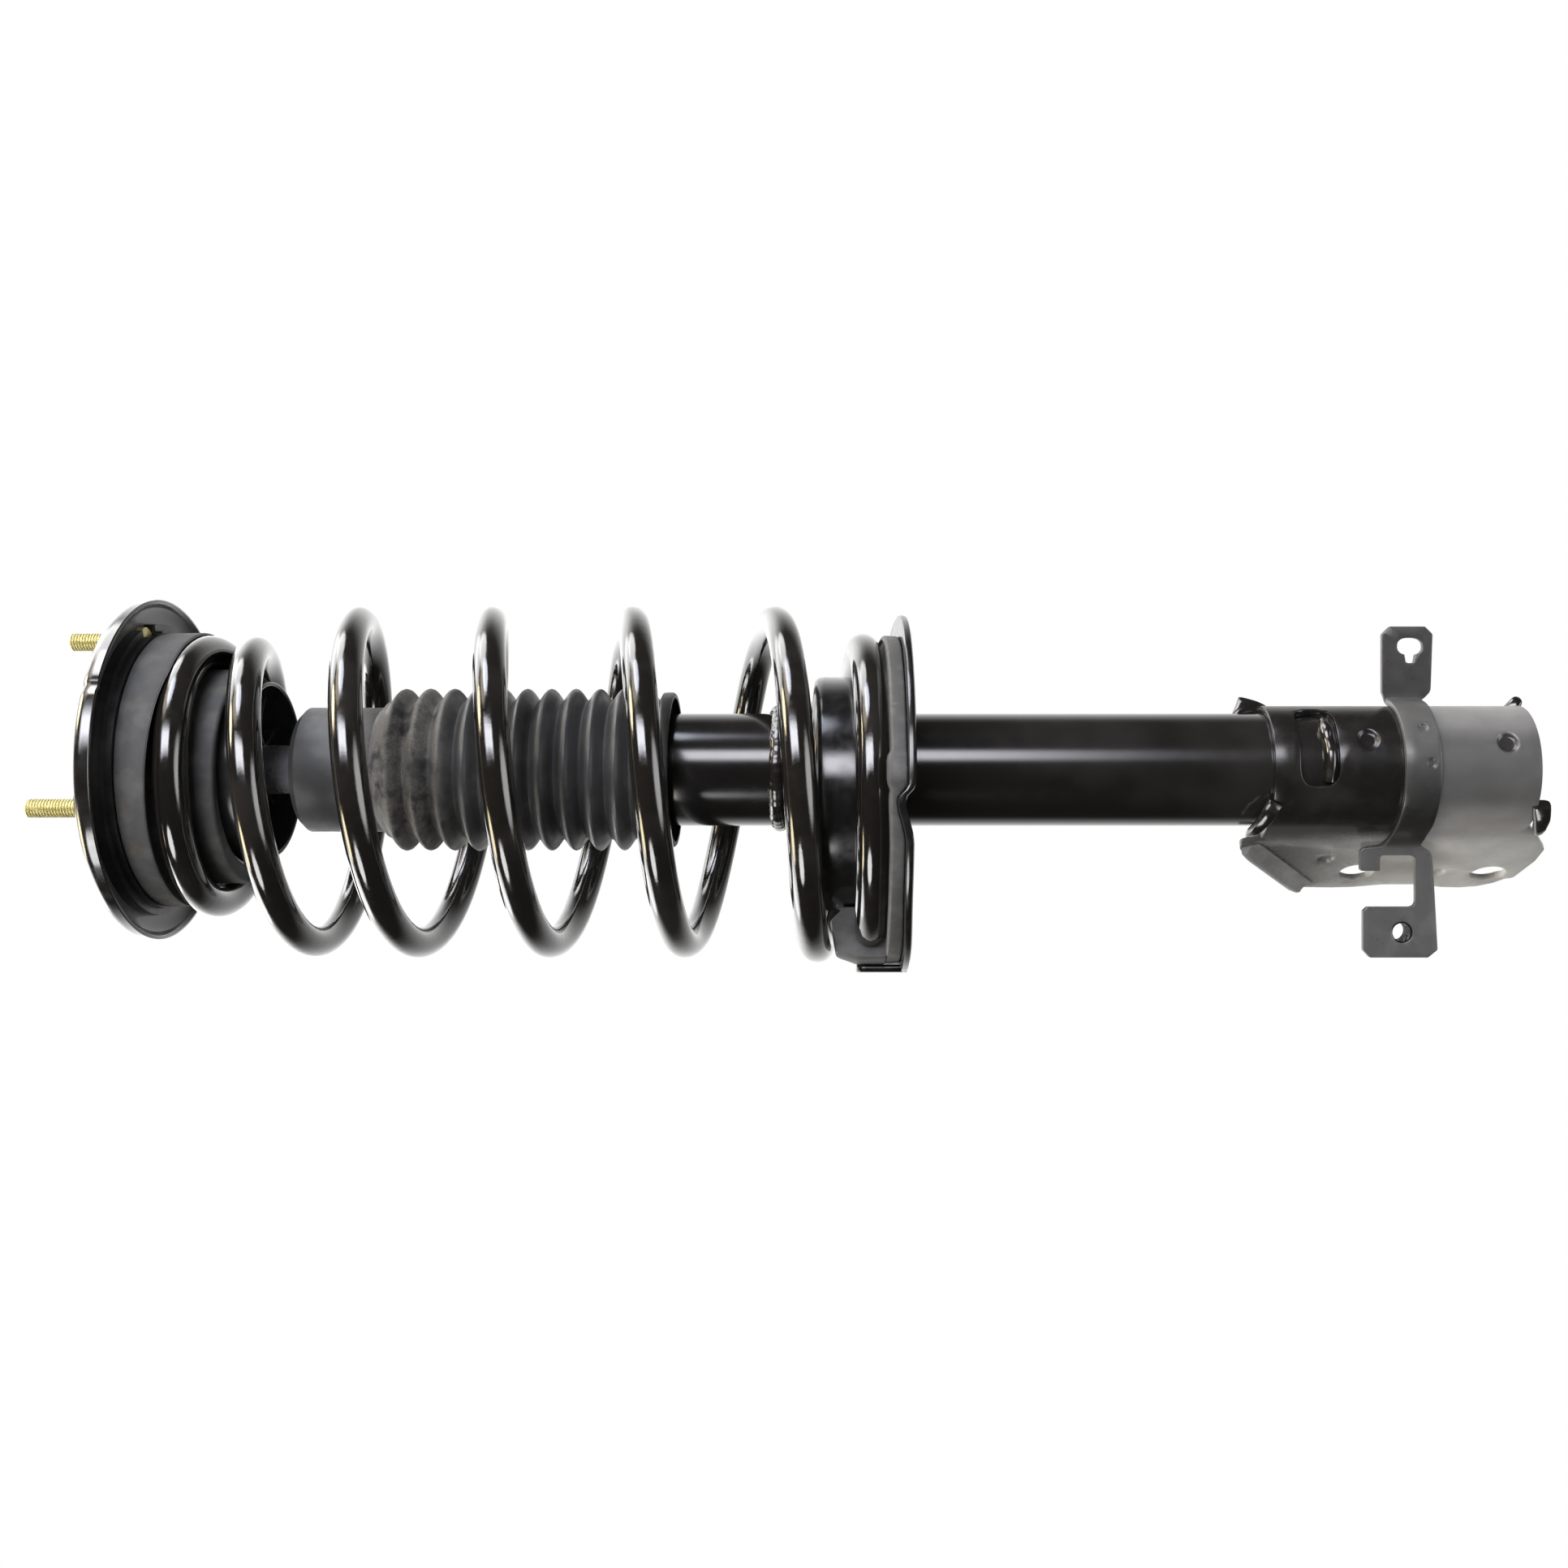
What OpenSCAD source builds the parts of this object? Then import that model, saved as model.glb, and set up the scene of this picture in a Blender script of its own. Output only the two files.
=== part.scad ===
// Quick-strut assembly: damper, coil spring, top mount and knuckle bracket.
// Millimetres. The origin is the centre of the mount plate's top face, the strut hangs down
// along -Z, the knuckle bolts run along X and the knuckle bracket opens towards +Y.

/* [Top mount] */
// Outside diameter of the mount plate
plate_d = 153.8; // [152:0.2:158]
// Thickness of the mount plate's steel
plate_t = 3; // [2.5:0.5:3]
// Depth of the plate's turned-down rim
plate_rim = 8.3; // [6.5:0.1:9]
// Diameter of the circle that the four studs stand on
stud_pcd = 118; // [116:1:119]
// Thread diameter of the studs
stud_d = 8; // [6:1:8]
// Length of the studs above the plate
stud_len = 27; // [20:1:35]

/* [Coil spring] */
// Diameter of the spring wire
wire_d = 14.4; // [12:0.2:14.4]
// Mean radius of the spring's full turns
coil_r = 72.6; // [71:0.2:72.6]
// Mean radius of the small top turn
pigtail_r = 56.8; // [56:0.2:57]
// Mean radius of the turn that lies on the lower seat
seat_coil_r = 65.6; // [65:0.2:66]
// Turn at which the wire ends on the lower seat
coil_turns = 6.44; // [6.2:0.02:6.48]
// Height of the wire's centre at the top turn
coil_top = -30; // [-31:0.2:-30]
// Pitch of the full turns
coil_pitch = 63.1; // [62.7:0.1:63.5]
// Sideways shift of the spring's axis at its top
shift_top = 3.1; // [3:0.1:3.2]
// Sideways shift of the spring's axis at its bottom
shift_bottom = 10.9; // [10.8:0.1:11]

/* [Damper] */
// Outside diameter of the damper tube
tube_d = 51; // [50.8:0.1:51]
// Inside diameter of the damper tube
tube_bore = 46; // [45:0.5:47]
// Height of the tube's top end
tube_top = -218; // [-220:1:-216]
// Height of the tube's bottom end
tube_bottom = -622; // [-623:1:-620]
// Diameter of the piston rod
rod_d = 22; // [20:0.5:22]

/* [Knuckle bracket] */
// Thickness of the bracket's steel
bracket_t = 3.5; // [3:0.5:3.5]
// Diameter of the knuckle bolt holes
bolt_d = 16; // [14:0.5:17]
// Distance of the bolt holes from the tube's axis
bolt_y = 50; // [48:0.5:51]
// Height of the upper bolt hole
bolt_top = -559; // [-561:0.5:-557]
// Distance between the two bolt holes
bolt_gap = 62; // [60:0.5:63]

/* [Hidden] */
$fn = 96;
eps = 0.01;

// Direction of the hose bracket's upper tab; the spring's axis shifts the other way
tab_dir = -28.5;
shift_dir = tab_dir + 180;
// Direction that the hose bracket's strap faces
strap_dir = tab_dir - 90;
tube_r = tube_d / 2;
bore_r = tube_bore / 2;
rod_r = rod_d / 2;
plate_r = plate_d / 2;
stud_ring = stud_pcd / 2;
running = 0.05;

// Heights in the top mount, from the mating face down
housing_top = -plate_t;
housing_bottom = -11;
race_t = 1.6;
ball_r = 1.9;
ball_ring = 55;
ball_count = 30;
ball_z = housing_bottom - race_t - ball_r;
seat_top = ball_z - ball_r - race_t;
seat_t = 2;
isolator_bottom = -28.3;
rod_thread_r = 7;
rod_shoulder = -28;
piston_top = -276;
piston_h = 14;

// The lower spring seat: a drum on the tube with a flange under the spring
drum_r = 53;
drum_top = -303;
flange_top = -341.2;
flange_r = 81;
seat_sheet = 3.5;
seat_tilt = 1.8;

// The knuckle bracket
wrap_r = tube_r + bracket_t;
wrap_top = -506;
wrap_bottom = -623;
ear_y = 67;
lip_out = 4.2;

// ---- helpers ----

module ring(inner, outer, low, high)
    translate([0, 0, low]) difference() {
        cylinder(r = outer, h = high - low);
        if (inner > 0) translate([0, 0, -1]) cylinder(r = inner, h = high - low + 2);
    }

module wedge(from, to, reach, low, high)
    translate([0, 0, low]) linear_extrude(high - low)
        polygon(concat([[0, 0]],
            [for (i = [0:4]) let (a = from + (to - from) * i / 4) reach * [cos(a), sin(a)]]));

module at_studs(first = 45, step = 90)
    for (a = [first:step:first + 359]) rotate(a) translate([stud_ring, 0, 0]) children();

// Places children in the frame of the seat drum's axis at the spring's lower end
module at_drum() rotate(shift_dir) translate([shift_bottom, 0, 0]) children();

module at_coil_top() rotate(shift_dir) translate([shift_top, 0, 0]) children();

function smooth(x) = let (u = min(1, max(0, x))) u * u * (3 - 2 * u);

// ---- spring wire: centre line, worked out turn by turn ----

ramp_start = 0.26;
ramp_rate = 1.29;
flat_start = 5;
flat_span = 1.5;
wire_start = -0.3;
sag = 7.8;
sag_turn = 1.32;
sag_span = 0.50;
lean_top = 3.6;
lean_rate = 1.48;
free_dip = 3.6;
shift_middle = 5.6;
coil_rings_per_turn = 30;
wire_sides = 14;

// Height of the turns before they lean
function coil_base(t) =
    let (u = max(0, t - ramp_start), x = max(0, t - flat_start) / flat_span)
    coil_top - coil_pitch * (u - (1 - exp(-ramp_rate * u)) / ramp_rate)
        + coil_pitch * flat_span * (pow(x, 3) - pow(x, 4) / 2)
        - sag * exp(-pow((t - sag_turn) / sag_span, 2));

// Lean of the turns towards the hose bracket's upper tab, none at the two ends
function coil_lean(t) =
    (lean_top - lean_rate * t) * smooth((t - 0.3) / 0.7) * (1 - smooth((t - 5.3) / 0.7));

// How far the turns hang lower on the strap's side; at the bottom they follow the tilted seat
function coil_dip(t) =
    free_dip * smooth(t / 0.3) + (seat_coil_r * sin(seat_tilt) - free_dip) * smooth((t - 5.2) / 0.8);

function coil_z(t) = coil_base(t) + coil_lean(t) * cos(360 * t) - coil_dip(t) * sin(360 * t);

function coil_radius(t) =
    pigtail_r + (coil_r - pigtail_r) * smooth((t - 0.95) / 0.6)
        - (coil_r - seat_coil_r) * smooth((t - 5.4) / 0.6);

function coil_shift(t) =
    shift_top + (shift_middle - shift_top) * smooth((t - 0.8) / 0.7)
        + (shift_bottom - shift_middle) * smooth(t - 5);

function coil_point(t) =
    let (a = tab_dir - 360 * t, r = coil_radius(t), s = coil_shift(t))
    [r * cos(a) + s * cos(shift_dir), r * sin(a) + s * sin(shift_dir), coil_z(t)];

// Height of the wire's centre where it rests on the lower seat
coil_rest = coil_base(flat_start + flat_span);

function unit(v) = v / norm(v);

module sweep(points, radius, sides) {
    count = len(points);
    rings = [for (i = [0:count - 1])
        let (tangent = unit(points[min(count - 1, i + 1)] - points[max(0, i - 1)]),
            side = unit(cross(tangent, [0, 0, 1])),
            up = cross(side, tangent))
        for (k = [0:sides - 1])
            points[i] + radius * (cos(360 * k / sides) * side + sin(360 * k / sides) * up)];
    walls = [for (i = [0:count - 2], k = [0:sides - 1])
        let (a = i * sides + k, b = i * sides + (k + 1) % sides)
        each [[a, b, b + sides], [a, b + sides, a + sides]]];
    start_cap = [for (k = [sides - 1:-1:0]) k];
    end_cap = [for (k = [0:sides - 1]) (count - 1) * sides + k];
    polyhedron(points = rings, faces = concat([start_cap], walls, [end_cap]), convexity = 8);
}

// ---- top mount, fixed to the car ----

module pressed_rim(outer, sheet, drop, bend) {
    translate([0, -sheet]) square([outer - bend, sheet]);
    translate([outer - sheet, -drop]) square([sheet, drop - bend]);
    translate([outer - bend, -bend]) intersection() {
        difference() {
            circle(bend);
            circle(bend - sheet);
        }
        square(bend + 1);
    }
}

module mount_plate() {
    centre_hole = 26;
    rim_notch = 9;
    color("#141416") difference() {
        rotate_extrude() pressed_rim(plate_r, plate_t, plate_rim, plate_t + 1);
        translate([0, 0, -plate_t - 1]) cylinder(r = centre_hole, h = plate_t + 2);
        at_studs() translate([0, 0, -plate_t - 1]) cylinder(r = shank_r, h = plate_t + 2);
        rotate(strap_dir + 30) translate([plate_r - 1.5, -rim_notch / 2, -plate_rim - 1])
            cube([4, rim_notch, plate_rim - 1]);
    }
}

// The studs' plain shank, pressed through the plate and just proud of it
shank_r = 4.4;
shank_up = 0.3;

module mount_studs() {
    head_r = 5.5;
    head_t = 3.5;
    tip = 1;
    color("#b79a3c") at_studs() {
        translate([0, 0, -plate_t]) cylinder(r = shank_r, h = plate_t + shank_up);
        translate([0, 0, shank_up - eps]) cylinder(d = stud_d, h = stud_len - tip - shank_up + eps);
        translate([0, 0, stud_len - tip]) cylinder(d1 = stud_d, d2 = stud_d - 2 * tip, h = tip);
        translate([0, 0, -plate_t - head_t]) cylinder(r = head_r, h = head_t);
    }
}

mount_cup_r = 41;
mount_cup_bottom = -22;

module mount_cup()
    color("#1a1a1c") {
        ring(mount_cup_r - 2, mount_cup_r, mount_cup_bottom, -plate_t);
        ring(30, mount_cup_r - 2 + eps, mount_cup_bottom, mount_cup_bottom + 2);
    }

sleeve_r = 12;

module mount_rubber()
    color("#242426") {
        ring(sleeve_r, mount_cup_r - 2, mount_cup_bottom + 2, -plate_t);
        ring(sleeve_r, 25, -plate_t - eps, -1);
    }

module mount_sleeve() color("#3a3a3e") ring(rod_thread_r, sleeve_r, rod_shoulder + 2, -0.5);

module rod_washer() color("#9a9aa0") ring(rod_thread_r, 19, -0.5, 2);

module rod_nut() {
    across_flats = 22;
    color("#a8a8ae") difference() {
        translate([0, 0, 2]) cylinder(d = across_flats / cos(30), h = 11, $fn = 6);
        translate([0, 0, 1]) cylinder(r = rod_thread_r, h = 13);
    }
}

cup_r = 40;
cup_hub_r = 21;
cup_rim = -57;

module jounce_cup() {
    rib_count = 12;
    rib_bottom = -47;
    color("#101012") {
        ring(rod_thread_r, cup_r, rod_shoulder, rod_shoulder + 2);
        ring(cup_r - 2, cup_r, cup_rim, rod_shoulder + eps);
        ring(cup_hub_r - 2, cup_hub_r, rib_bottom, rod_shoulder + eps);
        for (i = [0:rib_count - 1]) rotate(i * 360 / rib_count)
            translate([cup_hub_r - 1, -1, rib_bottom])
                cube([cup_r - cup_hub_r, 2, rod_shoulder - rib_bottom + eps]);
    }
}

module bearing_housing() {
    shell_r = 66;
    skirt_r = 63;
    inner = 43.5;
    color("#0c0c0e") difference() {
        union() {
            ring(inner, shell_r, -8, housing_top);
            ring(inner, skirt_r, housing_bottom, -8 + eps);
        }
        at_studs() translate([0, 0, -7]) cylinder(r = 5.9, h = 5);
        at_studs(135, 180) translate([-6.5, -6.5, -8 - eps]) cube([20, 13, 6]);
        at_studs(135, 180) translate([3, -6.5, housing_bottom - 1]) cube([20, 13, 6]);
    }
}

module bearing_upper_race()
    color("#8d8d92") ring(51, 59, housing_bottom - race_t, housing_bottom);

module rod_thread_end() translate([0, 0, 16]) cylinder(r1 = rod_thread_r, r2 = 6, h = 1);

module piston_rod() {
    spigot_r = 6;
    color("#c9cace") {
        translate([0, 0, rod_shoulder - eps]) cylinder(r = rod_thread_r, h = 16 - rod_shoulder + eps);
        rod_thread_end();
        translate([0, 0, piston_top + 2]) cylinder(r = rod_r, h = rod_shoulder - piston_top - 2);
        translate([0, 0, piston_top - piston_h - 12])
            cylinder(r = spigot_r, h = piston_h + 14 + eps);
    }
}

collar_top = -72;
collar_bottom = -108;

module bump_stop() {
    top = collar_top - 3.2;
    waists = 3;
    step = 15;
    color("#8c8a72") for (i = [0:waists - 1]) {
        ring(rod_r + running, 23.5 - 2 * i, top - step * i - 9, top - step * i);
        ring(rod_r + running, 18 - i, top - step * (i + 1), top - step * i - 9 + eps);
    }
}

ridge_count = 11;
ridge_pitch = 11;
ridge_r = 36.8;
valley_r = 31.5;
boot_wall = 2;
boot_bottom = -240;

module dust_boot() {
    first_ridge = -118;
    collar_r = 28.2;
    ridges = [for (i = [0:ridge_count - 1]) each [
        [ridge_r - boot_wall, first_ridge - i * ridge_pitch],
        [valley_r - boot_wall, first_ridge - (i + 0.5) * ridge_pitch]]];
    inside = concat([[26, collar_bottom], [26, -110], [valley_r - boot_wall, -112.5]], ridges,
        [[33, boot_bottom + 5], [33, boot_bottom]]);
    outside = [for (i = [len(inside) - 1:-1:1]) inside[i] + [boot_wall, 0]];
    color("#2b2b2d") rotate_extrude()
        polygon(concat([[rod_r + 0.4, collar_top], [rod_r + 0.4, collar_top - 3], [26, collar_top - 3]],
            inside, outside, [[collar_r, collar_bottom], [collar_r, collar_top - 3],
            [collar_r - 3, collar_top]]));
}

module rebound_bumper() color("#5a4632") ring(rod_r, 15, -262, -250.5);

module rebound_stop() color("#8d8d92") ring(rod_r, 14.5, -266, -262);

piston_r = 15.6;
band_inner = 15;
band_outer = 16 - running;

module piston() {
    ports = 6;
    color("#77787c") difference() {
        ring(6, piston_r, piston_top - piston_h, piston_top);
        ring(band_inner, piston_r + 1, piston_top - 11, piston_top - 3);
        for (i = [0:ports - 1]) rotate(i * 360 / ports)
            translate([10.5, 0, piston_top - piston_h - 1]) cylinder(r = 1.4, h = piston_h + 2);
    }
}

module piston_band() color("#20443c") ring(band_inner, band_outer, piston_top - 11, piston_top - 3);

module valve_shims()
    color("#8d8d92") {
        ring(6, 13, piston_top, piston_top + 2);
        ring(6, 13, piston_top - piston_h - 2, piston_top - piston_h);
    }

module piston_nut() {
    across_flats = 19;
    bottom = piston_top - piston_h - 10;
    color("#a8a8ae") difference() {
        translate([0, 0, bottom]) cylinder(d = across_flats / cos(30), h = 8, $fn = 6);
        translate([0, 0, bottom - 1]) cylinder(r = 6, h = 10);
    }
}

// ---- spring seat and spring, turning on the bearing ----

module bearing_balls()
    color("#c9cace") for (i = [0:ball_count - 1]) rotate(i * 360 / ball_count)
        translate([ball_ring, 0, ball_z]) sphere(r = ball_r - 0.03);

module bearing_cage()
    color("#c8b890") difference() {
        ring(ball_ring - 3.5, ball_ring + 3.5, ball_z - 0.6, ball_z + 0.6);
        for (i = [0:ball_count - 1]) rotate(i * 360 / ball_count)
            translate([ball_ring, 0, ball_z - 1]) cylinder(r = ball_r + 0.15, h = 2);
    }

module bearing_lower_race() color("#8d8d92") ring(51, 59, seat_top, seat_top + race_t);

collar_steel_r = 43.5;
isolator_r = 62;
band_inner_r = 59.3;
isolator_collar_r = 48.6;
isolator_collar_bottom = -48;

module upper_spring_seat()
    color("#1a1a1c") {
        ring(collar_steel_r - 1.3, band_inner_r, seat_top - seat_t, seat_top);
        ring(collar_steel_r - 1.3, collar_steel_r, -46, seat_top - seat_t + eps);
    }

module upper_isolator() {
    under = seat_top - seat_t;
    groove_r = wire_d / 2 + 0.3;
    color("#39393b") {
        ring(band_inner_r, isolator_r, under - eps, housing_bottom - 0.3);
        difference() {
            union() {
                translate([0, 0, isolator_bottom]) cylinder(r = isolator_r, h = under - isolator_bottom);
                at_coil_top() translate([0, 0, isolator_collar_bottom])
                    cylinder(r = isolator_collar_r, h = under - isolator_collar_bottom);
            }
            translate([0, 0, -60]) cylinder(r = collar_steel_r, h = 60);
            at_coil_top() {
                rotate_extrude() translate([pigtail_r, coil_top]) circle(groove_r);
                ring(pigtail_r - groove_r, pigtail_r + groove_r, coil_top - 30, coil_top);
            }
        }
    }
}

module coil_spring() {
    count = ceil((coil_turns - wire_start) * coil_rings_per_turn);
    route = [for (i = [0:count]) coil_point(wire_start + (coil_turns - wire_start) * i / count)];
    color("#0e0e10") sweep(route, wire_d / 2, wire_sides);
}

// ---- damper body ----

module strut_tube() color("#0a0a0c") ring(bore_r, tube_r, tube_bottom, tube_top);

module tube_cap() color("#2a2a2c") ring(rod_r + 2, bore_r, tube_top - 3.6, tube_top - 0.4);

module rod_seal() color("#26262a") ring(rod_r + running, 20, tube_top - 10, tube_top - 3.6);

module rod_guide()
    color("#8d8d92") {
        ring(rod_r + 1.5, bore_r, tube_top - 22, tube_top - 10);
        ring(rod_r + 1.5, 16, tube_top - 32, tube_top - 22 + eps);
    }

module guide_bush() color("#7d6a3a") ring(rod_r + running, rod_r + 1.5, tube_top - 31, tube_top - 11);

module inner_cylinder() color("#8d8d92") ring(16, 18, -604, tube_top - 22);

module foot_valve() {
    ports = 4;
    color("#77787c") difference() {
        union() {
            translate([0, 0, -608]) cylinder(r = 18, h = 4);
            translate([0, 0, -604 - eps]) cylinder(r = 16, h = 6);
        }
        for (i = [0:ports - 1]) rotate(i * 90)
            translate([9, 0, -609]) cylinder(r = 1.5, h = 12);
    }
}

module foot_valve_disc() color("#8d8d92") ring(0, 12, -598, -597);

module base_cup()
    color("#141416") {
        translate([0, 0, -612]) cylinder(r = bore_r, h = 4);
        ring(bore_r - 2, bore_r, -620, -612 + eps);
    }

module seat_weld() {
    bead_z = -287;
    color("#1a1a1c") difference() {
        rotate_extrude() translate([tube_r, bead_z]) circle(3);
        translate([0, 0, bead_z - 5]) cylinder(r = tube_r, h = 10);
    }
}

// Tilts the flange and its isolator towards the strap's side, about the end turn's height
module seat_tilted()
    translate([0, 0, coil_rest]) rotate([-seat_tilt, 0, 0]) translate([0, 0, -coil_rest]) children();

module lower_spring_seat() {
    neck_top = -290.2;
    neck_r = 28;
    under = 20;
    color("#101012") difference() {
        union() {
            translate([0, 0, drum_top - seat_sheet])
                cylinder(r = neck_r, h = neck_top - drum_top + seat_sheet);
            translate([0, 0, drum_top - eps]) cylinder(r1 = 34, r2 = neck_r, h = 6);
            at_drum() {
                translate([0, 0, flange_top - 2 * seat_sheet])
                    cylinder(r = drum_r, h = drum_top - flange_top + 2 * seat_sheet);
                seat_tilted() {
                    translate([0, 0, flange_top - seat_sheet]) cylinder(r = flange_r, h = seat_sheet);
                    stop_tab();
                }
            }
        }
        at_drum() {
            translate([0, 0, flange_top - under])
                cylinder(r = drum_r - seat_sheet, h = drum_top - seat_sheet - flange_top + under);
            seat_tilted() translate([0, 0, flange_top - seat_sheet - under])
                cylinder(r = flange_r + 1, h = under);
        }
        translate([0, 0, -360]) cylinder(r = tube_r, h = 80);
    }
}

module stop_tab() {
    tab_top = -322;
    half = 10;
    intersection() {
        ring(flange_r - seat_sheet, flange_r, flange_top - seat_sheet, tab_top);
        wedge(-half, half, 120, flange_top - seat_sheet, tab_top);
    }
}

module lower_isolator() {
    pad_outer = 76.8;
    pad_top = coil_rest - wire_d / 2 - 0.5;
    block_inner = 56;
    block_top = -313.8;
    color("#3c3c3e") at_drum() seat_tilted() {
        ring(drum_r + 0.8, pad_outer, flange_top, pad_top);
        intersection() {
            ring(block_inner, pad_outer, flange_top, block_top);
            wedge(-5, 20, 120, flange_top, block_top);
        }
    }
}

// ---- knuckle bracket ----

// Side outline of an ear, as [y, z]
ear_outline = [
    [-40, wrap_top], [12, wrap_top], [21, -498], [26, -499], [66.5, -533], [ear_y, -551],
    [66.5, -561], [63.5, -575], [63.5, -591], [66.5, -604], [ear_y, -613], [65.5, -621],
    [62, -627.5], [54, -634.5], [36, -638.5], [24, -638.5], [12, wrap_bottom], [-40, wrap_bottom]
];

module ear_lips() {
    start = [25, -498.5];
    end = [66.5, -533];
    run = end - start;
    for (side = [-1, 1])
        translate([side > 0 ? wrap_r - eps : -wrap_r - lip_out + eps, start[0], start[1]])
            rotate([atan2(run[1], run[0]), 0, 0]) translate([0, 0, -bracket_t])
                cube([lip_out, norm(run), bracket_t]);
}

module knuckle_bracket() {
    window_top = -517;
    window_bottom = -534.5;
    dimple_r = 5.2;
    color("#121214") {
        difference() {
            intersection() {
                translate([0, 0, -650]) linear_extrude(160) difference() {
                    union() {
                        circle(wrap_r);
                        translate([-wrap_r, 0]) square([2 * wrap_r, ear_y]);
                    }
                    circle(tube_r);
                    translate([-tube_r, 0]) square([2 * tube_r, ear_y + 1]);
                }
                rotate([90, 0, 90]) translate([0, 0, -60]) linear_extrude(120) polygon(ear_outline);
            }
            for (z = [bolt_top, bolt_top - bolt_gap])
                translate([-60, bolt_y, z]) rotate([0, 90, 0]) cylinder(d = bolt_d, h = 120);
            wedge(strap_dir - 16, strap_dir + 68, 60, window_bottom, window_top);
            for (d = [[-547.6, 27.7], [-608.7, 24.4]])
                rotate(strap_dir + d[1]) translate([wrap_r - 1.5, 0, d[0]])
                    rotate([0, 90, 0]) cylinder(r = dimple_r, h = 5);
            for (d = [[35.5, -541], [50, -597]])
                translate([-wrap_r - 1, d[0], d[1]]) rotate([0, 90, 0]) cylinder(r = 4.2, h = 2);
        }
        ear_lips();
    }
}

module bracket_weld() {
    bead_r = 2;
    color("#1c1c1e") {
        intersection() {
            ring(tube_r, tube_r + bead_r, -531, -521);
            wedge(strap_dir - 12, strap_dir + 64, 60, -532, -520);
        }
    }
}

// ---- hose bracket ----

strap_t = 3;
tab_t = 3;

module flat_plate(points)
    rotate([90, 0, 0]) linear_extrude(tab_t) polygon(points);

module hose_bracket() {
    strap_top = -562.4;
    strap_bottom = -578;
    upper_end = 65;
    upper_top = -560.6;
    upper_bottom = -583.7;
    chamfer = 3.5;
    key_at = 56;
    key_z = -573.3;
    hook_top = -550.7;
    arm_bottom = -583.6;
    lower_end = 85.3;
    window_from = 38.9;
    window_to = 62.2;
    window_top = -560;
    window_bottom = -575.7;
    boss_at = 73.8;
    boss_z = -569.7;
    boss_h = 9;
    strap_leg = 15;
    color("#2c2c2e") difference() {
        union() {
            intersection() {
                ring(wrap_r, wrap_r + strap_t, strap_bottom, strap_top);
                wedge(-180, tab_dir, 60, strap_bottom, strap_top);
            }
            translate([-wrap_r - strap_t, -eps, strap_bottom])
                cube([strap_t, strap_leg, strap_top - strap_bottom]);
            rotate(tab_dir) flat_plate([
                [wrap_r, strap_bottom], [wrap_r + 5, upper_bottom], [upper_end - chamfer, upper_bottom],
                [upper_end, upper_bottom + chamfer], [upper_end, upper_top - chamfer],
                [upper_end - chamfer, upper_top], [wrap_r + 5, upper_top], [wrap_r, strap_top]]);
            rotate(shift_dir) translate([0, tab_t, 0]) flat_plate([
                [33.1, strap_bottom], [37, arm_bottom], [lower_end - chamfer, arm_bottom - 2.4],
                [lower_end, arm_bottom + 2], [lower_end, -555], [lower_end - chamfer, -552],
                [window_to + 2, -552], [window_to, -554], [window_to, window_bottom],
                [window_from, window_bottom], [window_from, window_top], [46, window_top],
                [46, hook_top], [35, hook_top], [33.1, strap_top]]);
            rotate(shift_dir) translate([boss_at, -boss_h, boss_z]) rotate([-90, 0, 0])
                cylinder(r = 7.5, h = boss_h + eps);
        }
        rotate(tab_dir) translate([key_at, 0, key_z]) rotate([90, 0, 0]) {
            for (side = [-1, 1]) translate([0, side * 1.1, -5]) cylinder(r = 4.8, h = 20);
            translate([-7.4, -1.85, -5]) cube([8, 3.7, 20]);
        }
        rotate(shift_dir) translate([boss_at, -15, boss_z]) rotate([-90, 0, 0])
            cylinder(r = 4.6, h = 30);
    }
}

mount_plate();
mount_studs();
mount_cup();
mount_rubber();
mount_sleeve();
rod_washer();
rod_nut();
jounce_cup();
bearing_housing();
bearing_upper_race();
piston_rod();
bump_stop();
dust_boot();
rebound_bumper();
rebound_stop();
piston();
piston_band();
valve_shims();
piston_nut();
bearing_balls();
bearing_cage();
bearing_lower_race();
upper_spring_seat();
upper_isolator();
coil_spring();
strut_tube();
tube_cap();
rod_seal();
rod_guide();
guide_bush();
inner_cylinder();
foot_valve();
foot_valve_disc();
base_cup();
seat_weld();
lower_spring_seat();
lower_isolator();
knuckle_bracket();
bracket_weld();
hose_bracket();
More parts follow.
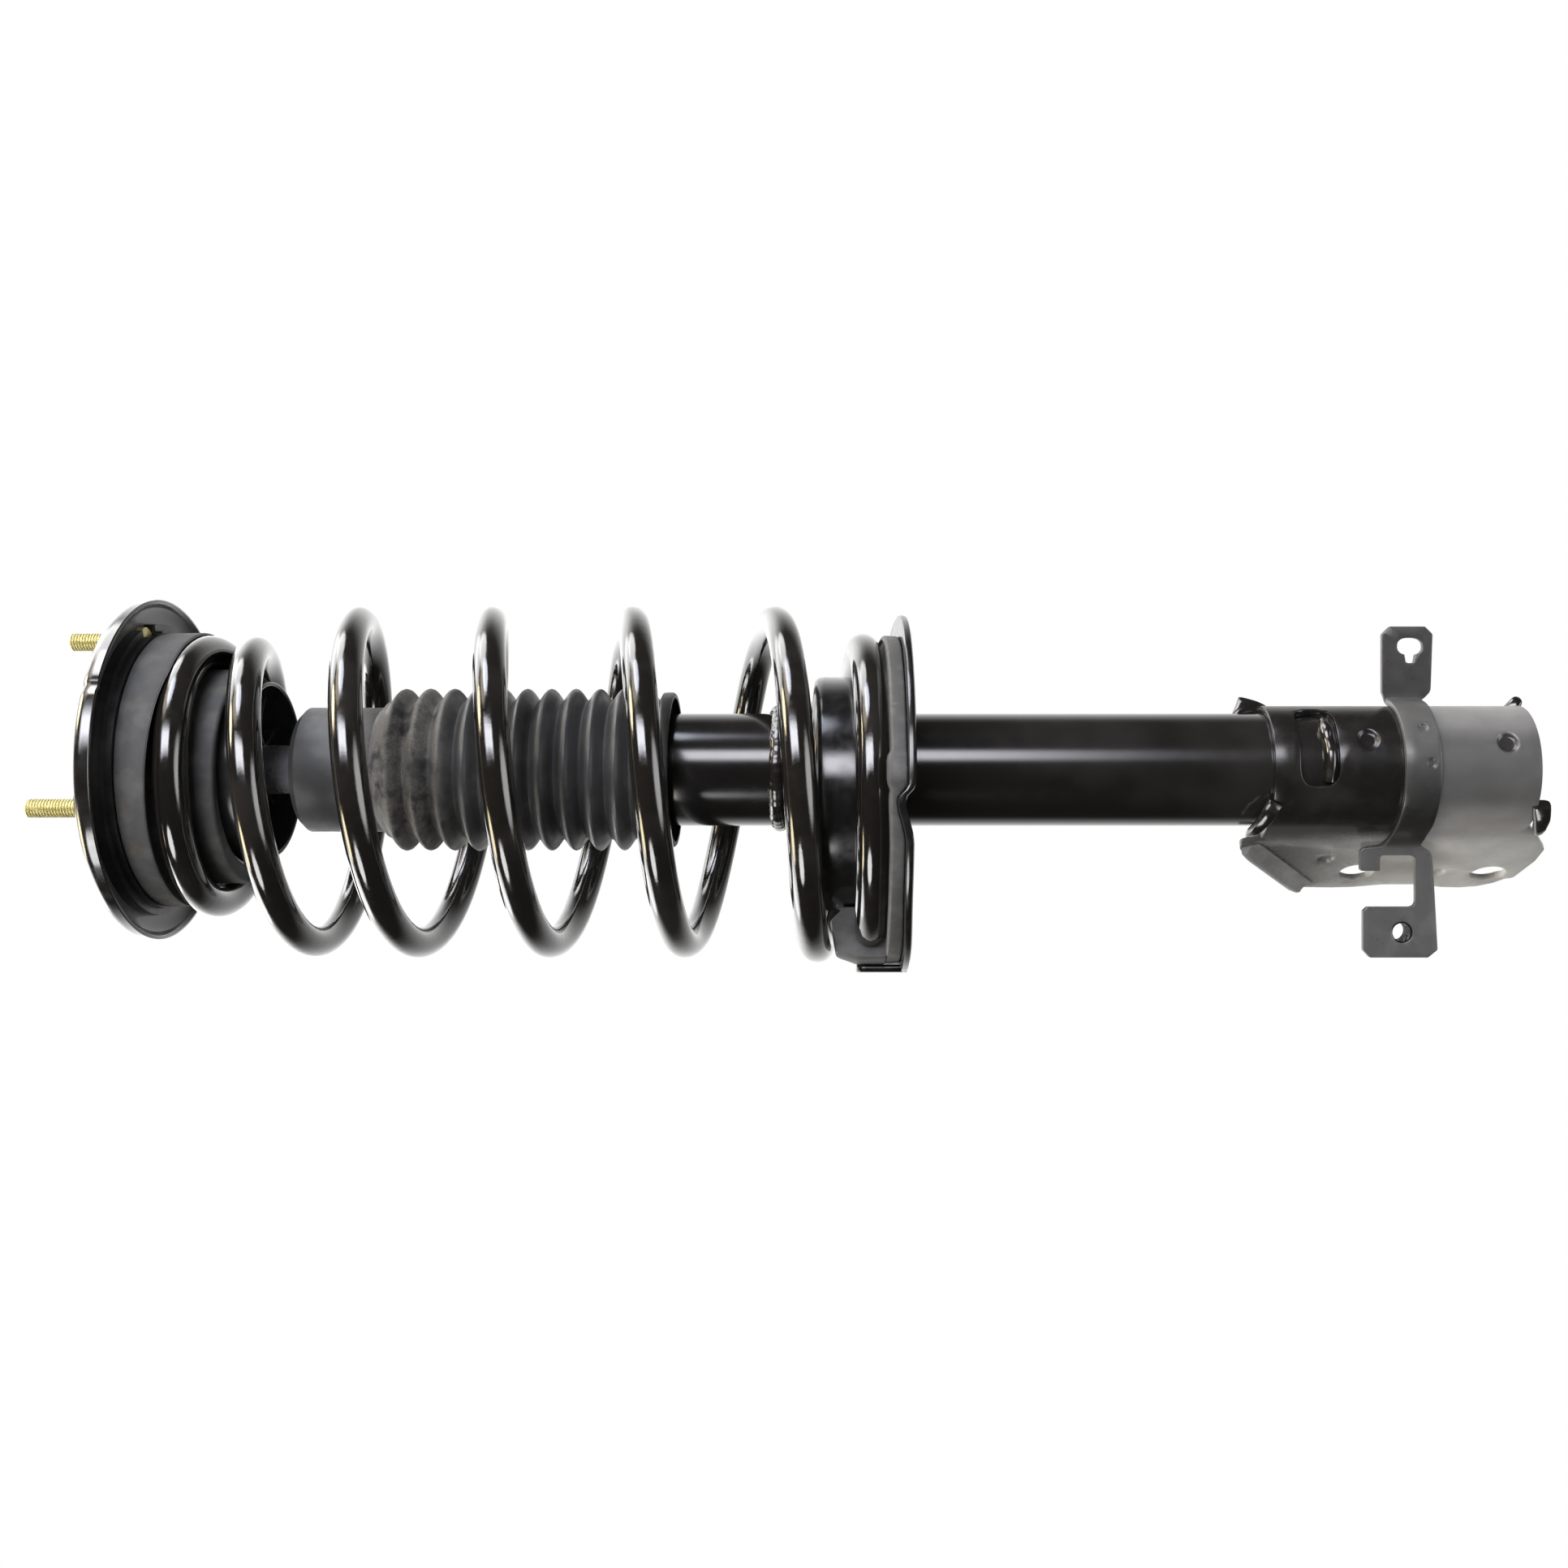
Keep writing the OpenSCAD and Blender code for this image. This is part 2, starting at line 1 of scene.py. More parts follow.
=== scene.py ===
# Strut assembly: damper, coil spring, top mount and knuckle bracket, seen lying along the picture.
import bpy, bmesh
from math import acos, atan2, copysign, cos, degrees, exp, pi, radians, sin, sqrt, tan
from mathutils import Matrix, Vector, noise
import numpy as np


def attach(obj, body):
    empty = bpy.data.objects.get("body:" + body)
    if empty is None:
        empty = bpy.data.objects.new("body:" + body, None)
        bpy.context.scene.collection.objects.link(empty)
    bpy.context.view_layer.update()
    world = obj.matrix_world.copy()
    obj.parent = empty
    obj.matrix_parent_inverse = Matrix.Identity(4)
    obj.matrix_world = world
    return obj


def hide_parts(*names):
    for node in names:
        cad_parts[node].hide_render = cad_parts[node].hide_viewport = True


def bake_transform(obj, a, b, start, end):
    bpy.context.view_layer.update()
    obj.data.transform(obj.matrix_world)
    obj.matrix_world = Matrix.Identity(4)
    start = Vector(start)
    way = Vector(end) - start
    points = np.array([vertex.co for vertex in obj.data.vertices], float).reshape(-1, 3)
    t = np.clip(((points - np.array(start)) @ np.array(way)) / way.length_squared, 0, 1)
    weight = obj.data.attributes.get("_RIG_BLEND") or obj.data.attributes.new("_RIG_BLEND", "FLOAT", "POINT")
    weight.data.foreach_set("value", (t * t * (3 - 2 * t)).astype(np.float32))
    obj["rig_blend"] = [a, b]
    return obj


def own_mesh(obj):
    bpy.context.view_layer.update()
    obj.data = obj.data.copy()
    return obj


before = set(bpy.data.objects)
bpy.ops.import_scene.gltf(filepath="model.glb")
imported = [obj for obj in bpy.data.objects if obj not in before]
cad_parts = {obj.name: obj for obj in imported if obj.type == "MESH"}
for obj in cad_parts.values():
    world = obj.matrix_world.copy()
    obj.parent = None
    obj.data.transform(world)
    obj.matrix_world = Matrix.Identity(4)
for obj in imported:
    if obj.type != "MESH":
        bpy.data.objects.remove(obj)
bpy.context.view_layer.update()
scene = bpy.context.scene
MM = 0.001

# Directions in the row frame: the hose bracket's upper tab, and the side that the strap faces
TAB = radians(-28.5)
UP = Vector((cos(TAB), sin(TAB), 0))
TOW = Vector((cos(TAB - pi / 2), sin(TAB - pi / 2), 0))


def smooth(x):
    x = min(1.0, max(0.0, x))
    return x * x * (3 - 2 * x)


def lump(x, y, z, size):
    """A smooth bumpy value from -1 to 1 at a point in mm, with bumps about size mm apart."""
    return noise.noise(Vector((x, y, z)) / size)


# ------------------------ materials

def node(tree, kind, inputs=None, **props):
    made = tree.nodes.new(kind)
    for key, value in props.items():
        setattr(made, key, value)
    for key, value in (inputs or {}).items():
        if isinstance(value, bpy.types.NodeSocket):
            tree.links.new(value, made.inputs[key])
        else:
            made.inputs[key].default_value = value
    return made


def ramp(tree, x, a, b, low=0.0, high=1.0):
    return node(tree, "ShaderNodeMapRange",
                {"Value": x, "From Min": a, "From Max": b, "To Min": low, "To Max": high},
                interpolation_type="SMOOTHSTEP").outputs["Result"]


def math_node(tree, operation, a, b=0.5):
    return node(tree, "ShaderNodeMath", {0: a, 1: b}, operation=operation).outputs["Value"]


def multiply(tree, *values):
    out = values[0]
    for value in values[1:]:
        out = math_node(tree, "MULTIPLY", out, value)
    return out


def measure(tree, operation, a, b):
    """A number from two vectors, such as their dot product or the distance between them."""
    return node(tree, "ShaderNodeVectorMath", {0: a, 1: tuple(b)}, operation=operation).outputs["Value"]


def mix_value(tree, factor, a, b):
    return node(tree, "ShaderNodeMix", {0: factor, 2: a, 3: b}).outputs[0]


def mix_colour(tree, factor, a, b):
    return node(tree, "ShaderNodeMix", {0: factor, 6: a, 7: b}, data_type="RGBA").outputs[2]


def rgba(colour):
    """A colour given as one grey number or as three."""
    return (colour,) * 3 + (1,) if isinstance(colour, float) else (*colour, 1)


def noise_at(tree, where, size, detail=3.0, rough=0.55):
    """Noise with features about size mm across."""
    return node(tree, "ShaderNodeTexNoise", {"Vector": where, "Scale": 1000.0 / size, "Detail": detail,
                                             "Roughness": rough}).outputs["Fac"]


def material(name, colour, rough, metal=0.0, coat=0.0, coat_rough=0.1, ior=1.5, second=None, patch=20.0,
             patch_from=0.45, patch_to=0.7, rough_vary=0.06, bumps=((1.6, 0.02),), extra=None):
    """A finish with mottled colour and roughness, and bumps given as (size in mm, height in mm)."""
    mat = bpy.data.materials.new(name)
    mat.use_nodes = True
    tree = mat.node_tree
    shader = tree.nodes["Principled BSDF"]
    shader.inputs["Metallic"].default_value = metal
    shader.inputs["IOR"].default_value = ior
    shader.inputs["Coat Weight"].default_value = coat
    shader.inputs["Coat Roughness"].default_value = coat_rough
    where = node(tree, "ShaderNodeTexCoord").outputs["Object"]
    colour = rgba(colour)
    second = rgba(second or tuple(min(1, c * 1.6 + 0.004) for c in colour[:3]))
    mask = ramp(tree, noise_at(tree, where, patch), patch_from, patch_to)
    tint = mix_colour(tree, mask, colour, second)
    wear = ramp(tree, noise_at(tree, where, 6.0), 0.3, 0.7, rough - rough_vary, rough + rough_vary)
    if extra:
        tint, wear = extra(tree, where, tint, wear)
    tree.links.new(tint, shader.inputs["Base Color"])
    tree.links.new(wear, shader.inputs["Roughness"])
    normal = None
    for size, height in bumps:
        bump = node(tree, "ShaderNodeBump",
                    {"Height": noise_at(tree, where, size, 2.0), "Distance": height * MM,
                                             "Strength": 1.0})
        if normal is not None:
            tree.links.new(normal, bump.inputs["Normal"])
        normal = bump.outputs["Normal"]
    if normal is not None:
        tree.links.new(normal, shader.inputs["Normal"])
    return mat


def split(tree, where):
    return node(tree, "ShaderNodeSeparateXYZ", {0: where}).outputs


def film(tree, amount, tint, wear, colour, rough):
    """Lays a film of one colour and roughness over a finish."""
    return mix_colour(tree, amount, tint, rgba(colour)), mix_value(tree, amount, wear, rough)


def toned(top, bottom, colour, rough, size, low, high):
    """Adds a patchy film, such as dust or haze, between two heights in metres."""
    def add(tree, where, tint, wear):
        z = split(tree, where)[2]
        patches = ramp(tree, noise_at(tree, where, size, 6.0, 0.65), low, high)
        amount = multiply(tree, ramp(tree, z, top + 0.004, top - 0.002),
                          ramp(tree, z, bottom - 0.004, bottom + 0.002), patches)
        return film(tree, amount, tint, wear, colour, rough)
    return add


def bracket_haze_and_sheen(tree, where, tint, wear):
    """The bracket's paint is glossy above the strap and hazy grey below it and on the ears. The grey is
    partly painted sheen: it lightens towards the wrap's top and bottom edges and much more on the ears, and
    the haze is left out of the dishes as painted shade.
    """
    x, y, z = split(tree, where)
    edge = math_node(tree, "ADD", z, multiply(tree, noise_at(tree, where, 9.0, 4.0), 0.012))
    ear = multiply(tree, ramp(tree, y, 0.002, 0.016), ramp(tree, z, -0.515, -0.59, 0.12, 1.0))
    haze = math_node(tree, "MAXIMUM", ramp(tree, edge, -0.558, -0.574), ear)
    # Painted shade: the haze is taken out of the two dishes, so they stay dark
    for centre in DISH_CENTRES:
        away = measure(tree, "DISTANCE", where, centre)
        haze = multiply(tree, haze, ramp(tree, away, 0.0042, 0.0052, 0.15, 1.0))
    cloud = ramp(tree, noise_at(tree, where, 14.0, 5.0), 0.3, 0.75, 0.8, 1.0)
    # Painted sheen: the wrap's grey lightens towards its top and bottom edges along UP
    height = measure(tree, "DOT_PRODUCT", where, UP)
    wrap = mix_colour(tree, ramp(tree, height, 0.010, 0.027), (0.085, 0.084, 0.082, 1),
                      (0.2, 0.198, 0.192, 1))
    wrap = mix_colour(tree, ramp(tree, height, -0.012, -0.027), wrap, (0.26, 0.256, 0.25, 1))
    # Painted sheen: the ears take a much lighter grey
    tone = mix_colour(tree, ramp(tree, y, 0.004, 0.02), wrap, (0.43, 0.424, 0.41, 1))
    return mix_colour(tree, multiply(tree, haze, cloud), tint, tone), mix_value(tree, haze, wear, 0.3)


def strap_shade(tree, where, tint, wear):
    """Painted shade: the strap darkens downwards round the tube, as light falls on it from above; the lower
    tab doesn't. The upper tab is a darker grey all over.
    """
    height = measure(tree, "DOT_PRODUCT", where, UP)
    # Painted shade down the strap, stopping short of the lower tab
    low = multiply(tree, ramp(tree, height, 0.024, -0.026), ramp(tree, height, -0.036, -0.031))
    # The upper tab is made darker
    tint = mix_colour(tree, ramp(tree, height, 0.028, 0.036), tint, (0.04, 0.039, 0.037, 1))
    return mix_colour(tree, low, tint, (0.012, 0.0118, 0.0115, 1)), wear


def plate_inside(tree, where, tint, wear):
    """The underside of the plate, inside its rim, is duller than the outside; its lighter grey is partly
    painted sheen.
    """
    reach = measure(tree, "DISTANCE", where, (0, 0, 0))
    inside = multiply(tree, ramp(tree, reach, 0.0758, 0.0745),
                      ramp(tree, split(tree, where)[2], -0.0024, -0.0029))
    # Partly painted sheen: a lighter, rougher grey film on the underside
    return film(tree, inside, tint, wear, (0.045, 0.044, 0.043), 0.42)


def boot_dust(tree, where, tint, wear):
    """Chalky dust in patches on the first ridges."""
    z = split(tree, where)[2]
    band = multiply(tree, ramp(tree, z, -0.104, -0.112), ramp(tree, z, -0.150, -0.128))
    patches = ramp(tree, noise_at(tree, where, 9.0, 8.0, 0.7), 0.36, 0.6)
    grain = ramp(tree, noise_at(tree, where, 0.8, 3.0, 0.7), 0.3, 0.62, 0.35, 1.0)
    amount = multiply(tree, band, multiply(tree, patches, grain))
    return film(tree, amount, tint, wear, (0.16, 0.152, 0.136), 0.9)


# The two pressed dishes on the wrap, in metres: height and angle from the strap's direction. The haze is kept
# out of them, which paints shade in the dishes.
DISH_CENTRES = [tuple(0.029 * (TOW * cos(radians(a)) + UP * sin(radians(a))) + Vector((0, 0, z)))
                for a, z in ((27.7, -0.5476), (24.4, -0.6087))]

# Each finish: the material slot that it counts as, and its material
M = {
    "plate": ("plate_black", material(
        "plate_paint", (0.007, 0.0065, 0.006), 0.16, coat=0.4, coat_rough=0.08, ior=1.7,
        bumps=((2.4, 0.012), (0.7, 0.002)), extra=plate_inside)),
    "zinc": ("zinc_yellow", material(
        "yellow_zinc", (0.62, 0.55, 0.24), 0.42, metal=0.55, second=(0.72, 0.68, 0.38), patch=2.5,
        rough_vary=0.08, bumps=((0.6, 0.002),))),
    "rubber": ("rubber_black", material(
        "mount_rubber_black", 0.012, 0.62, second=(0.03, 0.029, 0.028), patch=8.0,
        bumps=((0.5, 0.02), (4.0, 0.04)))),
    "cup": ("plastic_black", material(
        "jounce_cup_plastic", 0.03, 0.2, second=0.04, patch=12.0, bumps=((0.6, 0.002),))),
    "steel": ("steel_plain", material(
        "plain_steel", 0.5, 0.32, metal=1.0, second=(0.36, 0.35, 0.34), patch=5.0, bumps=((0.3, 0.004),))),
    "plastic": ("plastic_black", material(
        "black_plastic", 0.009, 0.34, second=0.016, patch=12.0, bumps=((0.8, 0.008),))),
    # Partly painted sheen: the chrome is only partly metallic, so a diffuse grey stands in for the
    # reflections the rod would show
    "chrome": ("rod_chrome", material(
        "hard_chrome_with_painted_sheen", (0.75, 0.75, 0.82), 0.26, metal=0.65, second=(0.55, 0.55, 0.6), rough_vary=0.02,
        bumps=((0.25, 0.0006),))),
    "foam": ("foam_tan", material(
        "foam_tan", (0.27, 0.25, 0.15), 0.85, second=(0.2, 0.18, 0.1), patch=3.0,
        bumps=((0.6, 0.09), (0.2, 0.03)))),
    "boot": ("boot_rubber", material(
        "boot_rubber", (0.026, 0.0265, 0.027), 0.44, second=(0.044, 0.0442, 0.044), patch=16.0,
        bumps=((0.6, 0.012), (7.0, 0.05)), extra=boot_dust)),
    "collar": ("boot_rubber", material(
        "boot_collar_rubber", 0.05, 0.5, second=(0.066, 0.066, 0.064), patch=14.0, bumps=((0.5, 0.012),),
        extra=toned(-0.098, -0.11, (0.13, 0.122, 0.11), 0.9, 3.0, 0.5, 0.7))),
    "iron": ("sintered_iron", material(
        "sintered_iron", (0.2, 0.2, 0.21), 0.5, metal=0.9, bumps=((0.3, 0.02),))),
    "ptfe": ("ptfe_green", material("ptfe_green", (0.02, 0.075, 0.06), 0.45, bumps=((0.5, 0.004),))),
    "nylon": ("nylon_tan", material("nylon_tan", (0.55, 0.47, 0.31), 0.45, bumps=((0.6, 0.006),))),
    "isolator": ("isolator_rubber", material(
        "isolator_rubber", 0.06, 0.74, second=(0.09, 0.088, 0.083), patch=11.0,
        bumps=((0.5, 0.02), (5.0, 0.05)),
        extra=toned(-0.010, -0.024, (0.085, 0.068, 0.05), 0.8, 12.0, 0.55, 0.7))),
    "lower_isolator": ("isolator_rubber", material(
        "lower_isolator_rubber", (0.052, 0.051, 0.05), 0.56, second=(0.08, 0.078, 0.075), patch=9.0,
        bumps=((0.5, 0.02), (4.0, 0.06)),
        extra=toned(-0.33, -0.345, (0.2, 0.18, 0.155), 0.85, 5.0, 0.62, 0.74))),
    "spring": ("spring_black", material(
        "spring_paint", (0.007, 0.006, 0.005), 0.12, coat=0.6, coat_rough=0.05, ior=1.6, patch=30.0,
        bumps=((4.0, 0.05), (1.1, 0.008)))),
    "tube": ("tube_black", material(
        "tube_paint", (0.006, 0.0055, 0.005), 0.17, coat=0.3, coat_rough=0.12, patch=60.0, rough_vary=0.012,
        bumps=((1.4, 0.002),))),
    "bronze": ("bush_bronze", material(
        "bush_bronze", (0.45, 0.34, 0.15), 0.3, metal=1.0, bumps=((0.3, 0.004),))),
    "weld": ("weld_black", material(
        "weld_paint", (0.008, 0.007, 0.006), 0.2, coat=0.6, coat_rough=0.05, patch=6.0,
        bumps=((3.0, 0.02),))),
    "seat": ("seat_black", material(
        "seat_paint", 0.005, 0.2, coat=0.35, coat_rough=0.1, patch=20.0, bumps=((2.2, 0.008),))),
    "bracket": ("bracket_black", material(
        "bracket_paint", (0.007, 0.0064, 0.0058), 0.25, patch=26.0, rough_vary=0.03,
        bumps=((2.0, 0.006), (0.6, 0.002)), extra=bracket_haze_and_sheen)),
    "hose": ("hose_bracket_grey", material(
        "hose_bracket_paint", (0.07, 0.069, 0.067), 0.33, second=(0.088, 0.087, 0.084), patch=10.0,
        extra=strap_shade)),
    # Painted light: the lips are the bracket's black sheet, coloured light grey to stand in for the light
    # they catch
    "lip": ("bracket_black", material("bracket_lip_painted_sheen", (0.17, 0.168, 0.163), 0.36)),
}

# ------------------------ mesh helpers

def piece(name, verts, faces, finish, body, replaced=(), sharp=35, place=None):
    """A closed mesh from points in mm, riding on a body."""
    mesh = bpy.data.meshes.new(name)
    bm = bmesh.new()
    made = [bm.verts.new(Vector(v) * MM) for v in verts]
    for f in faces:
        if len(set(f)) > 2:
            try:
                bm.faces.new([made[i] for i in f])
            except ValueError:
                pass
    bmesh.ops.remove_doubles(bm, verts=bm.verts, dist=2e-6)
    bmesh.ops.dissolve_degenerate(bm, edges=bm.edges, dist=1e-6)
    bmesh.ops.recalc_face_normals(bm, faces=bm.faces)
    bm.to_mesh(mesh)
    bm.free()
    return settle(name, mesh, finish, body, replaced, sharp, place)


def settle(name, mesh, finish, body, replaced=(), sharp=35, place=None):
    if place is not None:
        mesh.transform(place)
    mesh.shade_smooth()
    mesh.set_sharp_from_angle(angle=radians(sharp))
    made = bpy.data.objects.new(name, mesh)
    scene.collection.objects.link(made)
    slot, look = M[finish]
    mesh.materials.append(look)
    if body:
        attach(made, body)
    if replaced:
        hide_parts(*replaced)
    return made


def fillet(points, radius, closed=True, steps=4):
    """Rounds the corners of a polyline; radius is one number or one per point."""
    count = len(points)
    radii = radius if hasattr(radius, "__len__") else [radius] * count
    out = []
    for i, p in enumerate(points):
        if (not closed and i in (0, count - 1)) or radii[i] <= 0:
            out.append(tuple(p))
            continue
        p = Vector(p)
        a, b = Vector(points[i - 1]) - p, Vector(points[(i + 1) % count]) - p
        la, lb = a.length, b.length
        a, b = a / la, b / lb
        half = acos(max(-1, min(1, a.dot(b)))) / 2
        if half > pi / 2 - 0.02:
            out.append(tuple(p))
            continue
        reach = min(radii[i] / max(1e-6, tan(half)), 0.48 * la, 0.48 * lb)
        for k in range(steps + 1):
            t = k / steps
            out.append(tuple((1 - t) ** 2 * (p + a * reach) + 2 * t * (1 - t) * p + t * t * (p + b * reach)))
    return out


def rows_mesh(rows, closed=True, caps=False):
    """Joins rings of points; closed joins the last ring to the first."""
    n, m = len(rows[0]), len(rows)
    faces = []
    for i in range(m if closed else m - 1):
        a, b = i * n, (i + 1) % m * n
        faces += [(a + k, a + (k + 1) % n, b + (k + 1) % n, b + k) for k in range(n)]
    if caps:
        faces += [tuple(range(n)), tuple((m - 1) * n + k for k in range(n))]
    return [p for row in rows for p in row], faces


def ring(radius, z, n):
    """n points round Z at a height; radius is a number or a function of the angle."""
    points = []
    for k in range(n):
        a = 2 * pi * k / n
        r = radius(a) if callable(radius) else radius
        points.append((r * cos(a), r * sin(a), z))
    return points


def lathe(profile, n=128, wobble=0.0):
    """Turns a closed loop of (radius, height) about Z, a little out of round by wobble mm."""
    return rows_mesh([ring(lambda a: r + wobble * (sin(3 * a + z * 0.21) + 0.6 * sin(5 * a - z * 0.13)), z, n)
                      for r, z in profile])


def sweep(points, radius, sides, ref=None):
    """A closed tube along points. radius is a function of (index, angle); ref gives a point's upright."""
    rows = []
    for i, p in enumerate(points):
        along = (points[min(len(points) - 1, i + 1)] - points[max(0, i - 1)]).normalized()
        upright = ref(p) if ref else Vector((0, 0, 1))
        side = along.cross(upright).normalized()
        upright = side.cross(along)
        row = []
        for k in range(sides):
            a = 2 * pi * k / sides
            row.append(tuple(p + radius(i, a) * (cos(a) * side + sin(a) * upright)))
        rows.append(row)
    return rows_mesh(rows, closed=False, caps=True)


def join(parts):
    """Puts (verts, faces) pairs into one."""
    verts, faces = [], []
    for v, f in parts:
        faces += [tuple(i + len(verts) for i in face) for face in f]
        verts += v
    return verts, faces


def thread_cut(a, z, pitch, depth):
    """How deep a 60 degree thread lies under its crest at an angle and height."""
    phase = (z / pitch - a / (2 * pi)) % 1.0
    return depth * smooth(min(1, max(0, (abs(phase - 0.5) * 2 - 0.12) / 0.72)))


def threaded(profile, cut_from, cut_to, pitch, depth, n=36):
    """A solid turned about Z, threaded between two heights; profile runs upward as (radius, height)."""
    rows = []
    step = pitch / 8
    heights = []
    for (r0, z0), (r1, z1) in zip(profile, profile[1:]):
        inside = min(z0, z1) >= cut_from - 1e-6 and max(z0, z1) <= cut_to + 1e-6
        count = max(1, int(abs(z1 - z0) / step)) if inside else 1
        heights += [(r0 + (r1 - r0) * k / count, z0 + (z1 - z0) * k / count) for k in range(count)]
    heights.append(profile[-1])
    for r, z in heights:
        fade = 0
        if cut_from <= z <= cut_to:
            fade = smooth((z - cut_from) / pitch) * smooth((cut_to - z) / pitch + 0.4)
        rows.append(ring(lambda a: r - fade * thread_cut(a, z, pitch, depth), z, n))
    return rows_mesh(rows, closed=False, caps=True)


def hex_nut(across, low, high, hole, pitch):
    """A hexagon nut with turned chamfers at both ends and a threaded hole."""
    n, chamfer, mouth, thread_depth = 96, 1.6, 0.9, 0.5

    def hexagon(a):
        return across / 2 / cos((a + pi / 6) % (pi / 3) - pi / 6)

    outer = [(low, across / 2 - 0.6), (low + 0.4, across / 2 + 0.1), (low + chamfer, across),
             (high - chamfer, across), (high - 0.9, across / 2 + 1.0), (high - 0.4, across / 2 + 0.1),
             (high, across / 2 - 0.8)]
    rows = [ring(lambda a: min(hexagon(a), limit), z, n) for z, limit in outer]
    rows.append(ring(hole + mouth, high, n))
    count = int((high - low - 1.4) / pitch * 8)
    for i in range(count + 1):
        z = high - 0.7 - (high - low - 1.4) * i / count
        rows.append(ring(lambda a: hole + thread_cut(a, z, pitch, thread_depth), z, n))
    rows.append(ring(hole + mouth, low, n))
    return rows_mesh(rows)


class Path:
    """A bent sheet's middle line in the XY plane, measured along its length."""

    def __init__(self, points):
        self.points = [Vector(p) for p in points]
        self.at = [0.0]
        for a, b in zip(self.points, self.points[1:]):
            self.at.append(self.at[-1] + (b - a).length)
        cross = []
        for a, b in zip(self.points, self.points[1:]):
            d = (b - a).normalized()
            cross.append(Vector((-d.y, d.x)))
        self.normals = [cross[0]] + [(cross[i] + cross[i + 1]).normalized()
                                     for i in range(len(cross) - 1)] + [cross[-1]]

    def place(self, u, w):
        i = 0
        while i < len(self.at) - 2 and u > self.at[i + 1]:
            i += 1
        t = (u - self.at[i]) / (self.at[i + 1] - self.at[i])
        clamped = min(1, max(0, t))
        p = self.points[i].lerp(self.points[i + 1], t)
        nrm = self.normals[i].lerp(self.normals[i + 1], clamped)
        return p + nrm * w


def circle(u, v, r, n=40):
    return [(u + r * cos(2 * pi * k / n), v + r * sin(2 * pi * k / n)) for k in range(n)]


def loop_rings(loop, thick, edge, is_hole):
    """Rings of (u, v, w) up a sheet's cut edge, with the corner rounded by edge mm."""
    n = len(loop)
    area = sum(loop[i][0] * loop[(i + 1) % n][1] - loop[(i + 1) % n][0] * loop[i][1] for i in range(n)) / 2
    if (area < 0) != is_hole:
        loop = loop[::-1]
    inward = []
    for i in range(n):
        a, b = Vector(loop[i]) - Vector(loop[i - 1]), Vector(loop[(i + 1) % n]) - Vector(loop[i])
        a, b = a.normalized(), b.normalized()
        m = Vector((-a.y - b.y, a.x + b.x))
        m = m / max(0.3, m.length ** 2 / 2)
        inward.append(m)
    rings = []
    for inset, w in [(edge, -thick / 2), (edge * 0.3, -thick / 2 + edge * 0.3), (0, -thick / 2 + edge),
                     (0, thick / 2 - edge), (edge * 0.3, thick / 2 - edge * 0.3), (edge, thick / 2)]:
        rings.append([(p[0] + m.x * inset, p[1] + m.y * inset, w) for p, m in zip(loop, inward)])
    return rings


def bridge(bm, low, high):
    n = len(low)
    for k in range(n):
        bm.faces.new((low[k], low[(k + 1) % n], high[(k + 1) % n], high[k]))


def sheet_mesh(name, outline, holes, thick, edge, path, finish, body, replaced=(), dishes=(), shape=None,
               grid=None):
    """A pressed sheet cut to an outline of (u, v), then bent so that u follows path and v is the height.
    dishes are (u, v, radius, depth, through). shape moves a point before bending. grid cuts big faces."""
    bm = bmesh.new()
    loops = [(outline, edge, False)] + [(h, edge, True) for h in holes]
    loops += [(circle(u, v, r, 28), 0.12, True) for u, v, r, depth, through in dishes]
    ends = [[], []]
    for loop, soft, is_hole in loops:
        rings = [[bm.verts.new(p) for p in points] for points in loop_rings(loop, thick, soft, is_hole)]
        n = len(rings[0])
        for low, high in zip(rings, rings[1:]):
            bridge(bm, low, high)
        for side, points in ((0, rings[0]), (1, rings[-1])):
            ends[side] += [bm.edges.get((points[k], points[(k + 1) % n])) for k in range(n)]
    for edges in ends:
        bmesh.ops.triangle_fill(bm, edges=edges, use_beauty=True)
    # Cuts along u and v, so that the flat faces can bend
    cuts = [(Vector((u, 0, 0)), Vector((1, 0, 0))) for u in path.at[1:-1]]
    lo, hi = min(p[1] for p in outline), max(p[1] for p in outline)
    if grid:
        cuts += [(Vector((0, lo + grid * k, 0)), Vector((0, 1, 0)))
                 for k in range(1, int((hi - lo) / grid) + 1)]
        cuts += [(Vector((grid * k, 0, 0)), Vector((1, 0, 0))) for k in range(1, int(path.at[-1] / grid))]
    for co, no in cuts:
        bmesh.ops.bisect_plane(bm, geom=bm.verts[:] + bm.edges[:] + bm.faces[:], dist=1e-5, plane_co=co,
                               plane_no=no)
    for u, v, r, depth, through in dishes:

        def dish_rings(sizes, lift, deep):
            return [[bm.verts.new((*p, lift - deep * smooth((1.0 - f) / 0.38)))
                     for p in circle(u, v, r * f, 28)]
                    for f in sizes]

        front = dish_rings((1.0, 0.93, 0.84, 0.72, 0.58, 0.4, 0.2), thick / 2 - 0.02, depth)
        for low, high in zip(front, front[1:]):
            bridge(bm, low, high)
        bm.faces.new(front[-1])
        back = dish_rings((1.0, 0.84, 0.58), -thick / 2 + 0.02, depth if through else 0)
        for low, high in zip(back, back[1:]):
            bridge(bm, high, low)
        bm.faces.new(back[-1][::-1])
        bridge(bm, back[0], front[0])
    for vert in bm.verts:
        u, v, w = shape(*vert.co) if shape else vert.co
        p = path.place(u, w)
        vert.co = Vector((p.x, p.y, v)) * MM
    bmesh.ops.recalc_face_normals(bm, faces=bm.faces)
    mesh = bpy.data.meshes.new(name)
    bm.to_mesh(mesh)
    bm.free()
    return settle(name, mesh, finish, body, replaced, 30)


